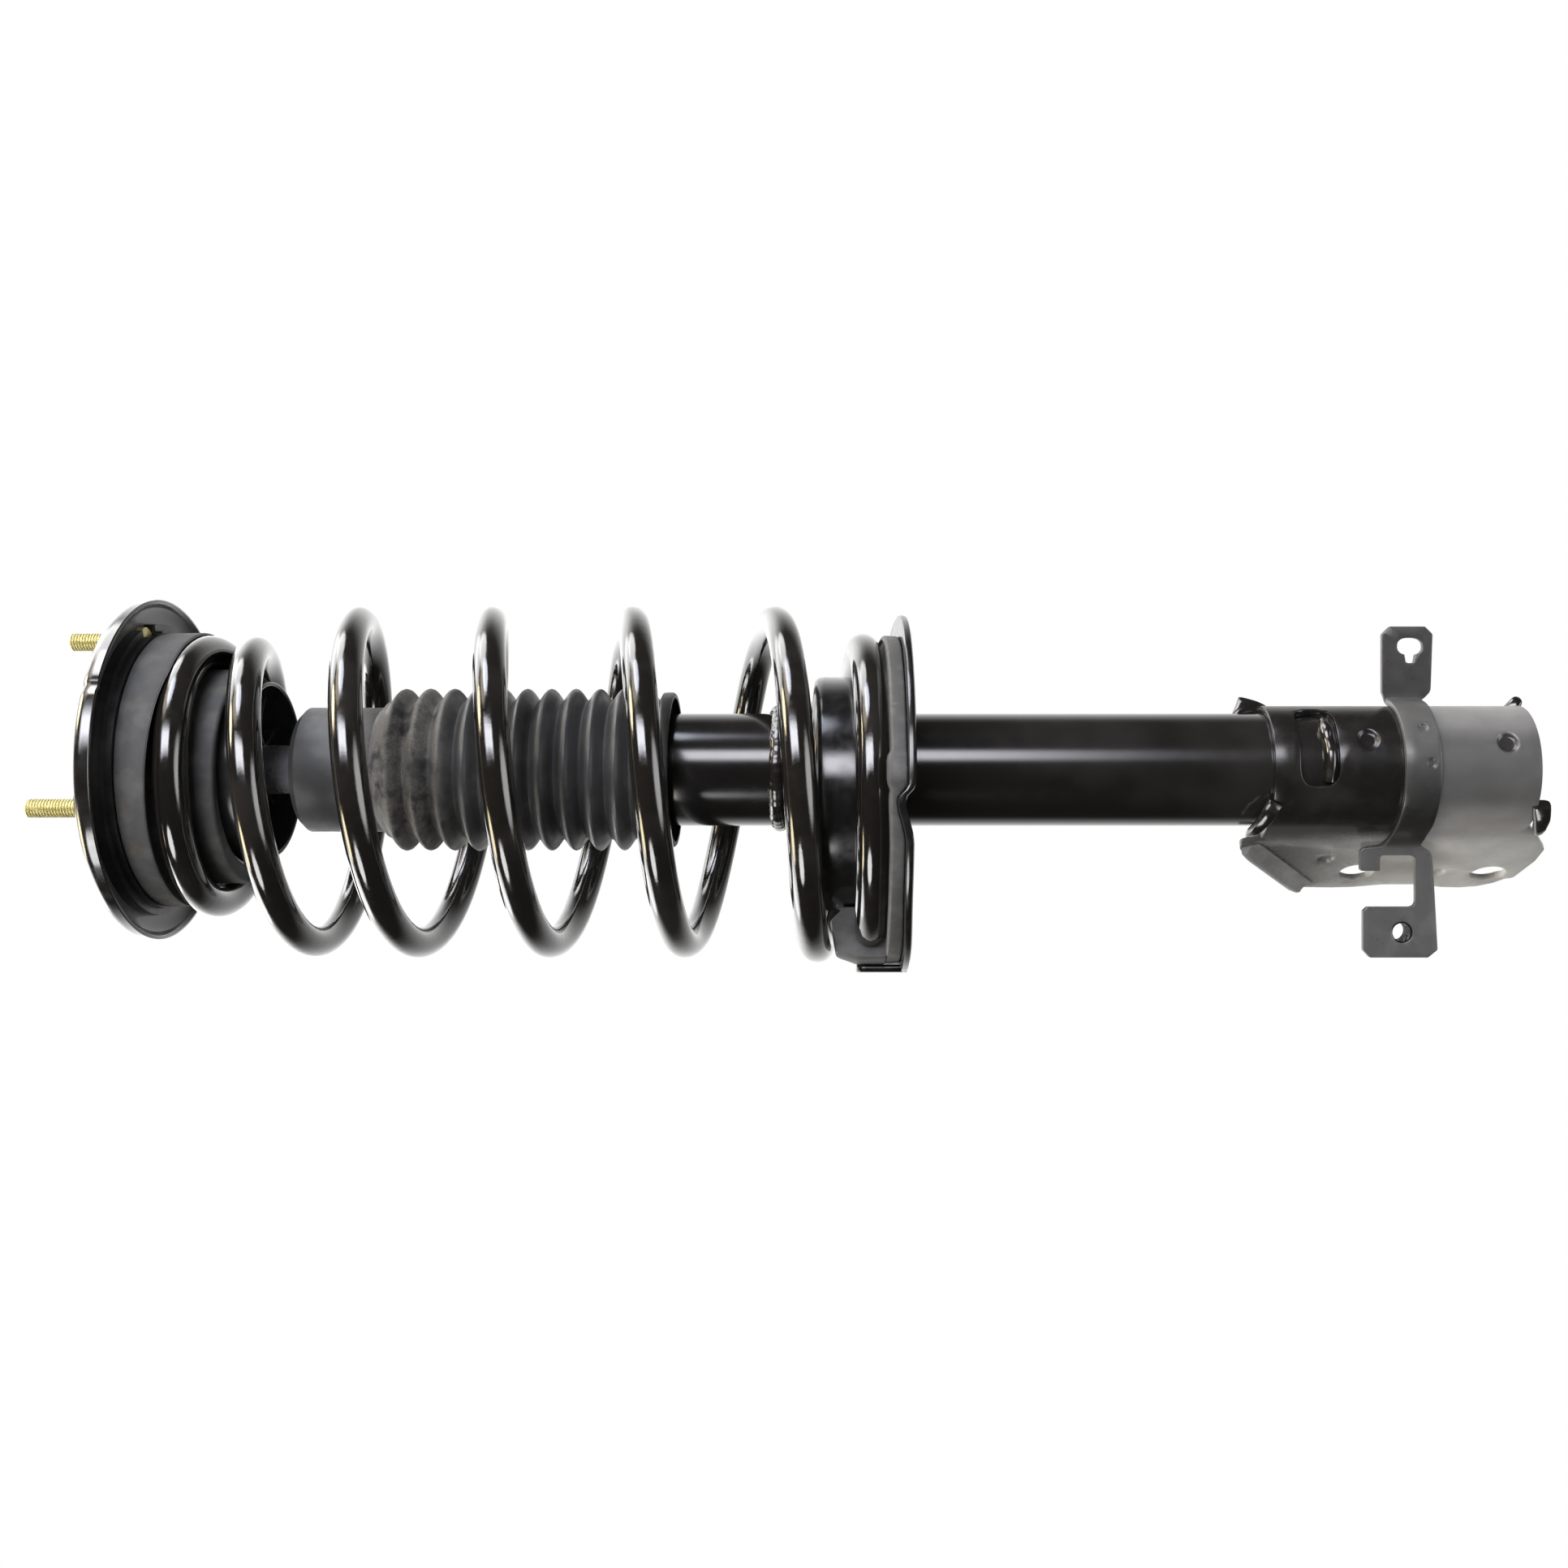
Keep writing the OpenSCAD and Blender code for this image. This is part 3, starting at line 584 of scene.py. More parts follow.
def arc(radius, start, end, step=5.0, centre=(0, 0)):
    count = max(2, int(abs(end - start) / step))
    return [(centre[0] + radius * cos(radians(start + (end - start) * i / count)),
             centre[1] + radius * sin(radians(start + (end - start) * i / count))) for i in range(count + 1)]


# ------------------------ sizes shared with the CAD, in mm

PLATE_RIM, ROD_R = 8.3, 11.0
WIRE_R, COIL_R, PIGTAIL_R, SEAT_COIL_R = 7.2, 72.6, 56.8, 65.6
COIL_TOP, COIL_PITCH, COIL_TURNS, WIRE_START = -30.0, 63.1, 6.44, -0.3
# How far the coil's axis stands off the strut's, at the top, along the middle and at the seat
SHIFT_TOP, SHIFT_MIDDLE, SHIFT_BOTTOM = 3.1, 5.6, 10.9
SEAT_TILT = radians(1.8)
TUBE_R, BORE_R, TUBE_TOP, TUBE_BOTTOM = 25.5, 23.0, -218.0, -622.0
FLANGE_TOP = -341.2
# The knuckle bracket's sheet goes round the tube; its ears end this far along Y
WRAP_MID, WRAP_OUT, EAR_END = TUBE_R + 1.75, TUBE_R + 3.5, 67.0
# The hose bracket's tabs end this far from the axis, up and down
UPPER_END, LOWER_END = 65.0, 85.3
SHIFT = -UP


def coil_base(t):
    u, x = max(0, t - 0.26), max(0, t - 5) / 1.5
    return (COIL_TOP - COIL_PITCH * (u - (1 - exp(-1.29 * u)) / 1.29)
            + COIL_PITCH * 1.5 * (x ** 3 - x ** 4 / 2)
            - 7.8 * exp(-((t - 1.32) / 0.5) ** 2))


def coil_z(t):
    lean = (3.6 - 1.48 * t) * smooth((t - 0.3) / 0.7) * (1 - smooth((t - 5.3) / 0.7))
    dip = 3.6 * smooth(t / 0.3) + (SEAT_COIL_R * sin(SEAT_TILT) - 3.6) * smooth((t - 5.2) / 0.8)
    return coil_base(t) + lean * cos(2 * pi * t) - dip * sin(2 * pi * t)


def coil_point(t):
    """A point on the wire's middle line, t turns down from the top of the coil."""
    r = PIGTAIL_R + (COIL_R - PIGTAIL_R) * smooth((t - 0.95) / 0.6)
    r -= (COIL_R - SEAT_COIL_R) * smooth((t - 5.4) / 0.6)
    shift = SHIFT_TOP + (SHIFT_MIDDLE - SHIFT_TOP) * smooth((t - 0.8) / 0.7)
    shift += (SHIFT_BOTTOM - SHIFT_MIDDLE) * smooth(t - 5)
    a = TAB - 2 * pi * t
    return Vector((r * cos(a), r * sin(a), coil_z(t))) + SHIFT * shift


COIL_REST = coil_base(6.5)

# ------------------------ top mount

def mount_plate():
    dent_at = TAB - pi / 2 + radians(27)
    profile = [(26.0, -2.6), (26.0, -0.5), (26.6, 0.0), (40, 0), (55, 0), (72.9, 0), (74.9, -0.55),
               (76.35, -2.0), (76.9, -4.0), (76.9, -5.2), (76.9, -1), (76.5, -1), (75.6, -1), (74.9, -1),
               (74.5, -6.3), (73.6, -5.0), (72.2, -4.0), (70.4, -3.35), (68.0, -3.0), (55, -3.0), (40, -3.0),
               (26.6, -3.0)]
    rows = []
    for i, (r, z) in enumerate(profile):
        row = []
        for k in range(192):
            a = 2 * pi * k / 192
            off = abs((a - dent_at + pi) % (2 * pi) - pi)
            drop = PLATE_RIM + 0.12 * sin(2 * a + 1) - 0.12
            h = {10: -drop + 0.5, 11: -drop + 0.1, 12: -drop, 13: -drop + 0.5}.get(i, z)
            q = r - (1.2 * max(0, 1 - off / radians(1.9)) if r > 73 else 0)
            row.append((q * cos(a), q * sin(a), h))
        rows.append(row)
    piece("mount_plate_pressing", *rows_mesh(rows), "plate", "top_mount", ("mount_plate",), sharp=40)


def studs():
    parts = []
    for k in range(4):
        a = pi / 4 + k * pi / 2
        shape = threaded([(0.01, -6.5), (6.2, -6.5), (6.7, -6.1), (6.7, -3.3), (6.4, -3.0), (4.4, -3.0),
                          (4.4, 0.28), (3.97, 0.3), (3.97, 26.0), (3.1, 27.0),
                          (0.01, 27.0)], 0.3, 26.0, 1.25, 0.62)
        verts, faces = shape
        spin = 0.7 * k
        parts.append(([(59 * cos(a) + x * cos(spin) - y * sin(spin),
                        59 * sin(a) + x * sin(spin) + y * cos(spin), z)
                       for x, y, z in verts], faces))
    piece("mount_stud_set", *join(parts), "zinc", "top_mount", ("mount_studs",), sharp=50)


def rod_and_nut():
    profile = [(0.01, -302), (5.4, -302), (6, -301.2), (6, -274), (10.2, -274), (ROD_R, -273.2), (ROD_R, -29),
               (10.2, -28), (7, -28), (6.95, -2), (6.95, 16.0), (5.9, 17.0), (0.01, 17.0)]
    piece("piston_rod_ground", *threaded(profile, -2, 16.0, 1.5, 0.8, n=72), "chrome", "top_mount",
          ("piston_rod",), sharp=45)
    piece("rod_nut_hex", *hex_nut(22, 2, 13, 7, 1.5), "steel", "top_mount", ("rod_nut",), sharp=30)
    washer = fillet([(7.1, -0.5), (19, -0.5), (19, 2), (7.1, 2)], 0.6)
    piece("rod_washer_disc", *lathe(washer, 96), "steel", "top_mount", ("rod_washer",))


def jounce_cup():
    hub, wall, top, foot = 21, 40.0, -26, -57
    outline = fillet([(7.05, top), (wall, top), (wall, foot), (wall - 2, foot), (wall - 2, -28), (hub, -28),
                      (hub, -47), (hub - 2, -47), (hub - 2, -28), (7.05, -28)],
                     [0.3, 1.5, 0.9, 0.9, 1.2, 1.0, 0.8, 0.8, 1.0, 0.3])
    rib = [(-1, -27.5), (-1, -46.2), (-0.8, -46.8), (-0.3, -47), (0.3, -47), (0.8, -46.8), (1, -46.2),
           (1, -27.5)]
    parts = [lathe(outline, 144)]
    for k in range(12):
        c, s = cos(radians(30 * k)), sin(radians(30 * k))
        rows = [[(r * c - w * s, r * s + w * c, z) for w, z in rib] for r in (hub - 0.8, wall - 1.0)]
        parts.append(rows_mesh(rows, closed=False, caps=True))
    piece("jounce_cup_moulding", *join(parts), "cup", "top_mount", ("jounce_cup",), sharp=40)


def isolator_band():
    """The rubber over the spring's top turn: an outer band, a groove on the wire and a collar in the coil."""
    n = 160
    groove = WIRE_R + 0.3
    rows = [[] for _ in range(34)]
    for k in range(n):
        a = 2 * pi * k / n
        d = Vector((cos(a), sin(a), 0))

        def band(r, z):
            return (r * d.x, r * d.y, z)

        def shifted(r, z):
            return (SHIFT.x * SHIFT_TOP + r * d.x, SHIFT.y * SHIFT_TOP + r * d.y, z)

        gap = 62 - SHIFT_TOP * d.dot(SHIFT) - PIGTAIL_R
        edge = -28.3
        if abs(gap) < groove:
            edge = max(edge, -30 + sqrt(groove ** 2 - gap ** 2))
        ripple = 0.12 * sin(24 * a)
        column = [band(59.3, -11.5), band(61.2, -11.3), band(62, -12.0), band(62, -15),
                  band(61.9 + ripple * 0.4, -18), band(62, 0.4 * -18 + 0.6 * edge), band(62, edge + 0.9),
                  band(61.75, edge + 0.3), band(61.3, edge + 0.05)]
        out = atan2(edge + 30, max(1.0, gap))
        start = max(0.12, min(out, pi * 0.72))
        for j in range(11):
            b = start + (pi - 0.05 - start) * j / 10
            column.append(shifted(PIGTAIL_R + groove * cos(b), -30 + groove * sin(b)))
        column += [shifted(48.75, -31), shifted(48.6, -33), shifted(48.6, -40), shifted(48.6, -46.6),
                   shifted(48.0, -47.7), shifted(46.9, -48), band(44.6, -47.8), band(43.7, -47.0),
                   band(43.6, -40), band(43.6, -30), band(43.6, -20.5), band(50, -20.2), band(58, -20.2),
                   band(59.3, -20.0)]
        for i, p in enumerate(column):
            rows[i].append(p)
    piece("upper_isolator_moulding", *rows_mesh(rows), "isolator", "upper_seat", ("upper_isolator",),
          sharp=50)


def boot():
    collar = fillet([(11.6, -72), (25.2, -72), (28.2, -75.0), (28.2, -108), (26, -108), (26, -75.6),
                     (11.6, -75.2)],
                    [0.5, 0.5, 0.5, 0.2, 0.2, 1.0, 0.5])
    piece("boot_collar", *lathe(collar, 128), "collar", "top_mount", ("dust_boot",), sharp=40)
    outside = [(28.2, -108), (28.25, -109.2), (29.2, -110.2), (31.0, -111.2)]
    for i in range(12 * 11 + 1):
        z = -112.5 - 11 * i / 12
        phase = (z + 118) / 11
        peak = (0.5 + 0.5 * cos(2 * pi * phase)) ** 0.85
        outside.append((31.4 + 5.4 * peak, z))
    outside += [(33.6, -234.4), (35.0, -235.2), (35.2, -236.5), (35.2, -239.2), (34.6, -240)]
    inside = [(r - 1.9, z) for r, z in outside[::-1]]
    inside[-1] = (26, -108)
    bellows = piece("boot_bellows", *lathe(outside + inside, 144, wobble=0.07), "boot", "top_mount",
                    ("dust_boot",), sharp=60)
    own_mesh(bellows)
    stop = [(11.05, -75.2)]
    for i in range(3):
        top = -75.2 - 15 * i
        wide, waist = 23.5 - 2 * i, 18 - i
        stop += [(wide - 1.6, top), (wide - 0.3, top - 1), (wide, top - 4.5), (wide - 0.4, top - 7.5),
                 (wide - 2.2, top - 9), (waist + 0.3, top - 10.2), (waist, top - 12), (waist + 0.3, top - 14)]
    stop[-1] = (14, -120.2)
    stop += [(11.05, -120.2)]
    bump = piece("bump_stop_foam", *lathe(stop, 96, wobble=0.05), "foam", "top_mount", ("bump_stop",),
                 sharp=60)
    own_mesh(bump)


# ------------------------ spring

def spring():
    sides, rings_per_turn = 24, 72
    count = int((COIL_TURNS - WIRE_START) * rings_per_turn)
    turns = [WIRE_START + (COIL_TURNS - WIRE_START) * i / count for i in range(count + 1)]
    points = [coil_point(t) for t in turns]

    def radius(i, a):
        return (WIRE_R - 0.06 + 0.025 * lump(i * 0.9, a * 3, 0, 6.0)) * (0.93 if i in (0, count) else 1)

    verts, faces = sweep(points, radius, sides)
    # Only the free turns close up: each ring moves by the share of free gap above it
    free = [max(0.0, coil_z(t - 0.5) - coil_z(t + 0.5) - 15.6)
            * smooth((t - 0.3) / 0.5) * smooth((6.0 - t) / 0.4) for t in turns]
    share, run = [], 0.0
    for f in free:
        run += f
        share.append(run / sum(free))
    mesh = bpy.data.meshes.new("coil_spring_wire")
    mesh.from_pydata([Vector(v) * MM for v in verts], [], faces)
    mesh.update()
    made = settle("coil_spring_wire", mesh, "spring", None, ("coil_spring",), sharp=40)
    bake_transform(made, "upper_seat", "strut_body", start=(0, 0, -0.03), end=(0, 0, -0.327))
    weights = mesh.attributes["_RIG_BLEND"]
    weights.data.foreach_set("value", [share[i // sides] for i in range(len(mesh.vertices))])


# ------------------------ damper body

def tube():
    profile = fillet([(BORE_R, TUBE_BOTTOM), (TUBE_R, TUBE_BOTTOM), (TUBE_R, TUBE_TOP), (BORE_R, TUBE_TOP)],
                     [0.5, 0.9, 1.2, 0.5])
    dense = []
    for i, p in enumerate(profile):
        q = profile[(i + 1) % len(profile)]
        dense.append(p)
        if abs(q[1] - p[1]) > 50:
            dense += [(p[0] + (q[0] - p[0]) * j / 12, p[1] + (q[1] - p[1]) * j / 12) for j in range(1, 12)]
    piece("strut_tube_drawn", *lathe(dense, 160), "tube", "strut_body", ("strut_tube",), sharp=40)


def seat_weld():
    rows = []
    for j in range(14):
        b = 2 * pi * j / 14
        row = []
        for k in range(240):
            a = 2 * pi * k / 240
            ripple = 0.16 * sin(41 * a + 1.3 * sin(3 * a) + 1.2 * cos(b))
            knob = 1.5 * exp(-((((a - TAB) + pi) % (2 * pi) - pi) / 0.09) ** 2)
            size = 2.9 + ripple * 0.5 + 0.5 * lump(40 * cos(a), 40 * sin(a), 8, 9.0) + knob
            r = TUBE_R - 0.3 + size * max(-0.35, cos(b))
            row.append((r * cos(a), r * sin(a),
                        -287.3 + (size + 0.4) * sin(b) * 1.05 + 0.5 * sin(2 * a + 0.4)))
        rows.append(row)
    piece("seat_weld_bead", *rows_mesh(rows), "weld", "strut_body", ("seat_weld",), sharp=60)


def flange_raise(d, rim, hooked):
    """How far the seat's flange stands up: a hooked dip on the strap's side and a ramp behind."""
    side = degrees(atan2(d.dot(UP), d.dot(TOW)))
    hook = (3.6 * smooth((3.0 - side) / 3.5) * (1 - smooth((-side - 1) / 14))
            + 0.9 * smooth((1 - side) / 4) * (1 - smooth((-side - 30) / 30)))
    behind = (side - 60) % 360
    ramp_up = 9.0 * smooth(behind / 150) * (1 - smooth((behind - 175) / 24))
    return rim * (hooked * hook + ramp_up)


def seat_point(d, f, r, z, g, rim=0.0, hooked=1.0):
    centre = SHIFT * (SHIFT_BOTTOM * f) + TOW * (-0.4 * g)
    p = centre + d * r
    return (p.x, p.y, z - g * sin(SEAT_TILT) * r * d.dot(TOW) + flange_raise(d, rim, hooked))


def lower_seat():
    section = [
        (0, 25.6, -290.3, 0, 0), (0, 27.3, -290.2, 0, 0), (0, 28.0, -291.0, 0, 0), (0, 28.1, -296, 0, 0),
        (0, 28.9, -299.2, 0, 0), (0, 30.8, -301.6, 0, 0), (0.15, 34.2, -302.7, 0, 0), (0.55, 42, -303, 0, 0),
        (1, 48.6, -303, 0, 0), (1, 51.2, -303.6, 0, 0), (1, 52.6, -305.2, 0, 0), (1, 53, -308, 0, 0),
        (1, 53, -322, 0, 0), (1, 53, -333, 0.5, 0), (1, 53.3, -337.5, 1, 0), (1, 54.5, -340.2, 1, 0.3),
        (1, 57.2, -341.2, 1, 0.8), (1, 63, -341.2, 1, 1), (1, 72, -341.2, 1, 1), (1, 79.4, -341.2, 1, 1),
        (1, 80.6, -341.7, 1, 1), (1, 81, -342.9, 1, 1), (1, 80.6, -344.2, 1, 1), (1, 79.4, -344.7, 1, 1),
        (1, 68, -344.7, 1, 1), (1, 57, -344.7, 1, 1), (1, 52.4, -343.8, 1, 0.5), (1, 50, -340.5, 1, 0),
        (1, 49.5, -336, 0.6, 0), (1, 49.5, -322, 0, 0), (1, 49.5, -310.5, 0, 0), (1, 48.6, -307.6, 0, 0),
        (1, 46, -306.5, 0, 0), (0.5, 38, -306.5, 0, 0), (0.1, 31, -306.1, 0, 0), (0, 27.2, -303.2, 0, 0),
        (0, 25.6, -299.5, 0, 0)]
    n = 200
    rows = [[seat_point(Vector((cos(2 * pi * k / n), sin(2 * pi * k / n), 0)), *s) for k in range(n)]
            for s in section]
    piece("lower_seat_pressing", *rows_mesh(rows), "seat", "strut_body", ("lower_spring_seat",), sharp=45)
    # The stop tab turned up from the flange's edge, past the wire's end
    centre = SHIFT * SHIFT_BOTTOM
    turn = degrees(atan2(SHIFT.y, SHIFT.x))
    bend = Path(arc(79.2, turn - 10, turn + 10, 2.5, (centre.x, centre.y)))
    length = bend.at[-1]
    tab = fillet([(0, -345), (length, -345), (length, -322), (0, -322)], [2, 2, 5, 5])
    sheet_mesh("lower_seat_tab", tab, [], 3.4, 0.7, bend, "seat", "strut_body", ("lower_spring_seat",))


def lower_isolator():
    pad = COIL_REST - WIRE_R - 0.5
    section = fillet([(54.0, FLANGE_TOP + 0.15), (76.6, FLANGE_TOP + 0.15), (76.8, -334.6), (74.6, -333.8),
                      (71.5, pad), (58.5, pad), (56.5, pad + 0.9),
                      (54.0, pad + 0.9)], [0.5, 1.2, 1.4, 1.2, 3, 3, 0.8, 0.6], steps=3)
    n = 200
    rows = []
    for r, z in section:
        row = []
        for k in range(n):
            a = 2 * pi * k / n
            d = Vector((cos(a), sin(a), 0))
            side = degrees(atan2(d.dot(UP), d.dot(TOW)))
            swell = 0.18 * lump(70 * d.x, 70 * d.y, z, 7.0) if r > 70 else 0
            boss = smooth((side - 2.0) / 1.8) * smooth((13.5 - side) / 1.8) if r > 74 else 0
            # The ring is set off centre, so its edge draws in towards the upper tab
            pull = 5.2 * smooth((d.dot(UP) + 0.1) / 1.1) * smooth((r - 68) / 8)
            foot = z < -339
            row.append(seat_point(d, 1, r + swell + 2.2 * boss - pull, z + (0 if foot else 1.5 * boss), 1,
                                  1.0, 1.0 if foot else 0.15))
        rows.append(row)
    piece("lower_isolator_ring", *rows_mesh(rows), "lower_isolator", "strut_body", ("lower_isolator",),
          sharp=50)
    rows = []
    for i in range(19):
        t = i / 18
        a = radians(-5 + 27 * t) + atan2(SHIFT.y, SHIFT.x)
        d = Vector((cos(a), sin(a), 0))
        pinch = 0.5 * (1 - smooth(min(t, 1 - t) / 0.08))
        top = -313.8 + 3.4 * smooth((t - 0.35) / 0.5)
        block = fillet([(53.6 + pinch, pad + 0.3), (77.4 - pinch, pad + 0.3), (77.4 - pinch, -322),
                        (75.0 - pinch, top - 2 - pinch), (60 + pinch, top + 0.4 - pinch),
                        (53.6 + pinch, -316)], 1.2, steps=3)
        rows.append([seat_point(d, 1, r, z, 1) for r, z in block])
    piece("lower_isolator_stop", *rows_mesh(rows, closed=False, caps=True), "lower_isolator", "strut_body",
          ("lower_isolator",), sharp=50)


# ------------------------ knuckle bracket

EAR = [(12, -506), (21, -498), (26, -499), (66.5, -533), (67, -551), (66.5, -561), (63.5, -575), (63.5, -591),
       (66.5, -604), (67, -613), (65.5, -621), (62, -627.5), (54, -634.5), (36, -638.5), (24, -638.5),
       (11, -630.5), (1, -623)]


def knuckle_bracket():
    legs = [(WRAP_MID, EAR_END - EAR_END * k / 6) for k in range(6)] + arc(WRAP_MID, 0, -180, 4.0)
    path = Path(legs + [(-WRAP_MID, EAR_END * k / 6) for k in range(1, 7)])
    wrap = path.at[-1] - 2 * EAR_END
    far = EAR_END + wrap

    def on_wrap(angle):
        return EAR_END + wrap * (-angle / 180.0)

    corner = [3, 4, 3, 5, 8, 12, 14, 14, 10, 8, 6, 6, 8, 5, 3, 3, 2.5]
    outline = [(EAR_END - y, z) for y, z in EAR] + [(far + y, z) for y, z in EAR[::-1]]
    outline = fillet(outline, corner + corner[::-1], steps=5)
    # Two knuckle bolt holes in each ear, and the window that the plug weld sits in
    holes = [circle(u, z, 8.0) for u in (EAR_END - 50.0, far + 50.0) for z in (-559, -621)]
    a, b = on_wrap(-50.5), on_wrap(-134.5)
    holes.append(fillet([(a, -534.3), (b, -534.3), (b, -517.2), (a, -517.2)], 8.3, steps=7))
    dishes = [(on_wrap(-118.5 + 27.7), -547.6, 5.2, 1.5, False),
              (on_wrap(-118.5 + 24.4), -608.7, 5.2, 1.5, False),
              (far + 35.5, -541, 4.2, 1.5, True), (far + 50, -597, 4.2, 1.5, True)]

    def shape(u, v, w):
        """A shallow crease runs down each ear and the wrap flares a little at its ends."""
        for ear in (EAR_END - u, u - far):
            if ear > 4:
                line = (v + 560) * 0.35 + (ear - 30)
                w -= 0.9 * smooth(line / 5.0 + 0.5) * smooth((ear - 14) / 8)
        if EAR_END < u < far:
            w += 0.25 * smooth((v + 508) / 6) + 0.25 * smooth((-617 - v) / 6)
        return u, v, w

    # The sheet's outer face is away from the tube
    path.normals = [-n if n.dot(Vector((p.x, min(0, p.y)))) < 0 else n
                    for n, p in zip(path.normals, path.points)]
    sheet_mesh("knuckle_bracket_pressing", outline, holes, 3.4, 0.55, path, "bracket", "strut_body",
               ("knuckle_bracket",), dishes=dishes, shape=shape, grid=7.0)
    # Lips turned out along the ears' slanting edges, which drop 34 mm over 42 mm
    drop, run = 34.0, 42.0
    inward = Vector((0, -drop, -run)).normalized()
    parts = []
    for side in (-1, 1):
        rows = []
        for i in range(15):
            t = i / 14
            reach = 4.2 * (1 - 0.35 * smooth((t - 0.85) / 0.15)) * (0.75 + 0.25 * smooth(t / 0.1))
            out = [(0.02, 9.0), (0.1, 6.4), (0.5, 4.9), (1.4, 3.9), (reach - 0.9, 3.2), (reach - 0.2, 2.8),
                   (reach, 2.1), (reach, 0.9), (reach - 0.3, 0.3), (reach - 0.9, 0.05), (1.0, 0.0),
                   (-0.6, 0.1), (-2.0, 0.7), (-3.0, 1.9), (-3.38, 3.6), (-3.4, 9.0)]
            rows.append([tuple(Vector((side * (WRAP_OUT - 0.05 + x), 23.5 + run * t, -499.0 - drop * t))
                               + inward * depth) for x, depth in out])
        parts.append(rows_mesh(rows, closed=False, caps=True))
    piece("knuckle_bracket_lips", *join(parts), "lip", "strut_body", ("knuckle_bracket",), sharp=50)


def fin(base, tip, width, thick, bend, wave=0.0, taper=0.35):
    """A curled scrap of sheet from base to tip, curving by bend mm and narrowing towards its rounded tip."""
    base, tip, bend = Vector(base), Vector(tip), Vector(bend)
    along = (tip - base).normalized()
    side = along.cross(bend.normalized()).normalized()
    flat = side.cross(along)
    rows = []
    for i in range(13):
        t = i / 12
        p = base.lerp(tip, t) + bend * (4 * t * (1 - t))
        rounding = sqrt(max(0.02, 1 - max(0, (t - 0.7) / 0.3) ** 2)) / 2
        w, h = width * (1 - taper * smooth(t)) * rounding, thick * (1 - 0.2 * t) * rounding
        row = []
        for k in range(16):
            a = 2 * pi * k / 16
            c, s = cos(a), sin(a)
            q = p + side * w * copysign(abs(c) ** 0.6, c) + flat * h * copysign(abs(s) ** 0.8, s)
            q += flat * wave * lump(q.x, q.y, q.z, 4.0)
            row.append(tuple(q))
        rows.append(row)
    return rows_mesh(rows, closed=False, caps=True)


def bracket_welds():
    # Curled corners where the wrap's ends meet the ears
    parts = [
        fin((26.5, -1, -504), (36.8, -3.2, -499.6), 21, 3.4, (0, -1.6, 0), 0.4, taper=0.85),
        fin((-24.5, -15, -507), (-32.6, 3, -496.5), 7, 5.2, (-2.6, -2.6, 0), 0.9),
        fin((27, -3, -622.5), (34.6, -6.4, -628.2), 7.5, 5, (0, -1, 0), 0.6),
        fin((-25.3, -14, -624), (-30.2, 5, -627.5), 8, 6.0, (-2.5, -1.5, 0), 0.9)]
    piece("bracket_corner_curls", *join(parts), "weld", "strut_body", (), sharp=60)
    # The plug weld in the window: a lumpy bead round its lower side, melted onto the tube
    path = []
    for i in range(60):
        t = i / 59
        a = radians(-66.0 - 64.0 * t)
        path.append(Vector(((TUBE_R + 0.5) * cos(a), (TUBE_R + 0.5) * sin(a), -530.4 + 0.5 * sin(7 * t))))

    def bead(i, a):
        p = path[i]
        wide = 1 / sqrt((cos(a) / 2.9) ** 2 + (sin(a) / 3.7) ** 2)
        return wide * (0.94 + 0.12 * sin(i * 0.21)) + 0.7 * lump(p.x, p.y, p.z + 3 * sin(a), 6.0)

    weld = sweep(path, bead, 24, ref=lambda p: Vector((p.x, p.y, 0)).normalized())
    piece("bracket_window_weld", *weld, "weld", "strut_body", ("bracket_weld",), sharp=70)


# ------------------------ hose bracket

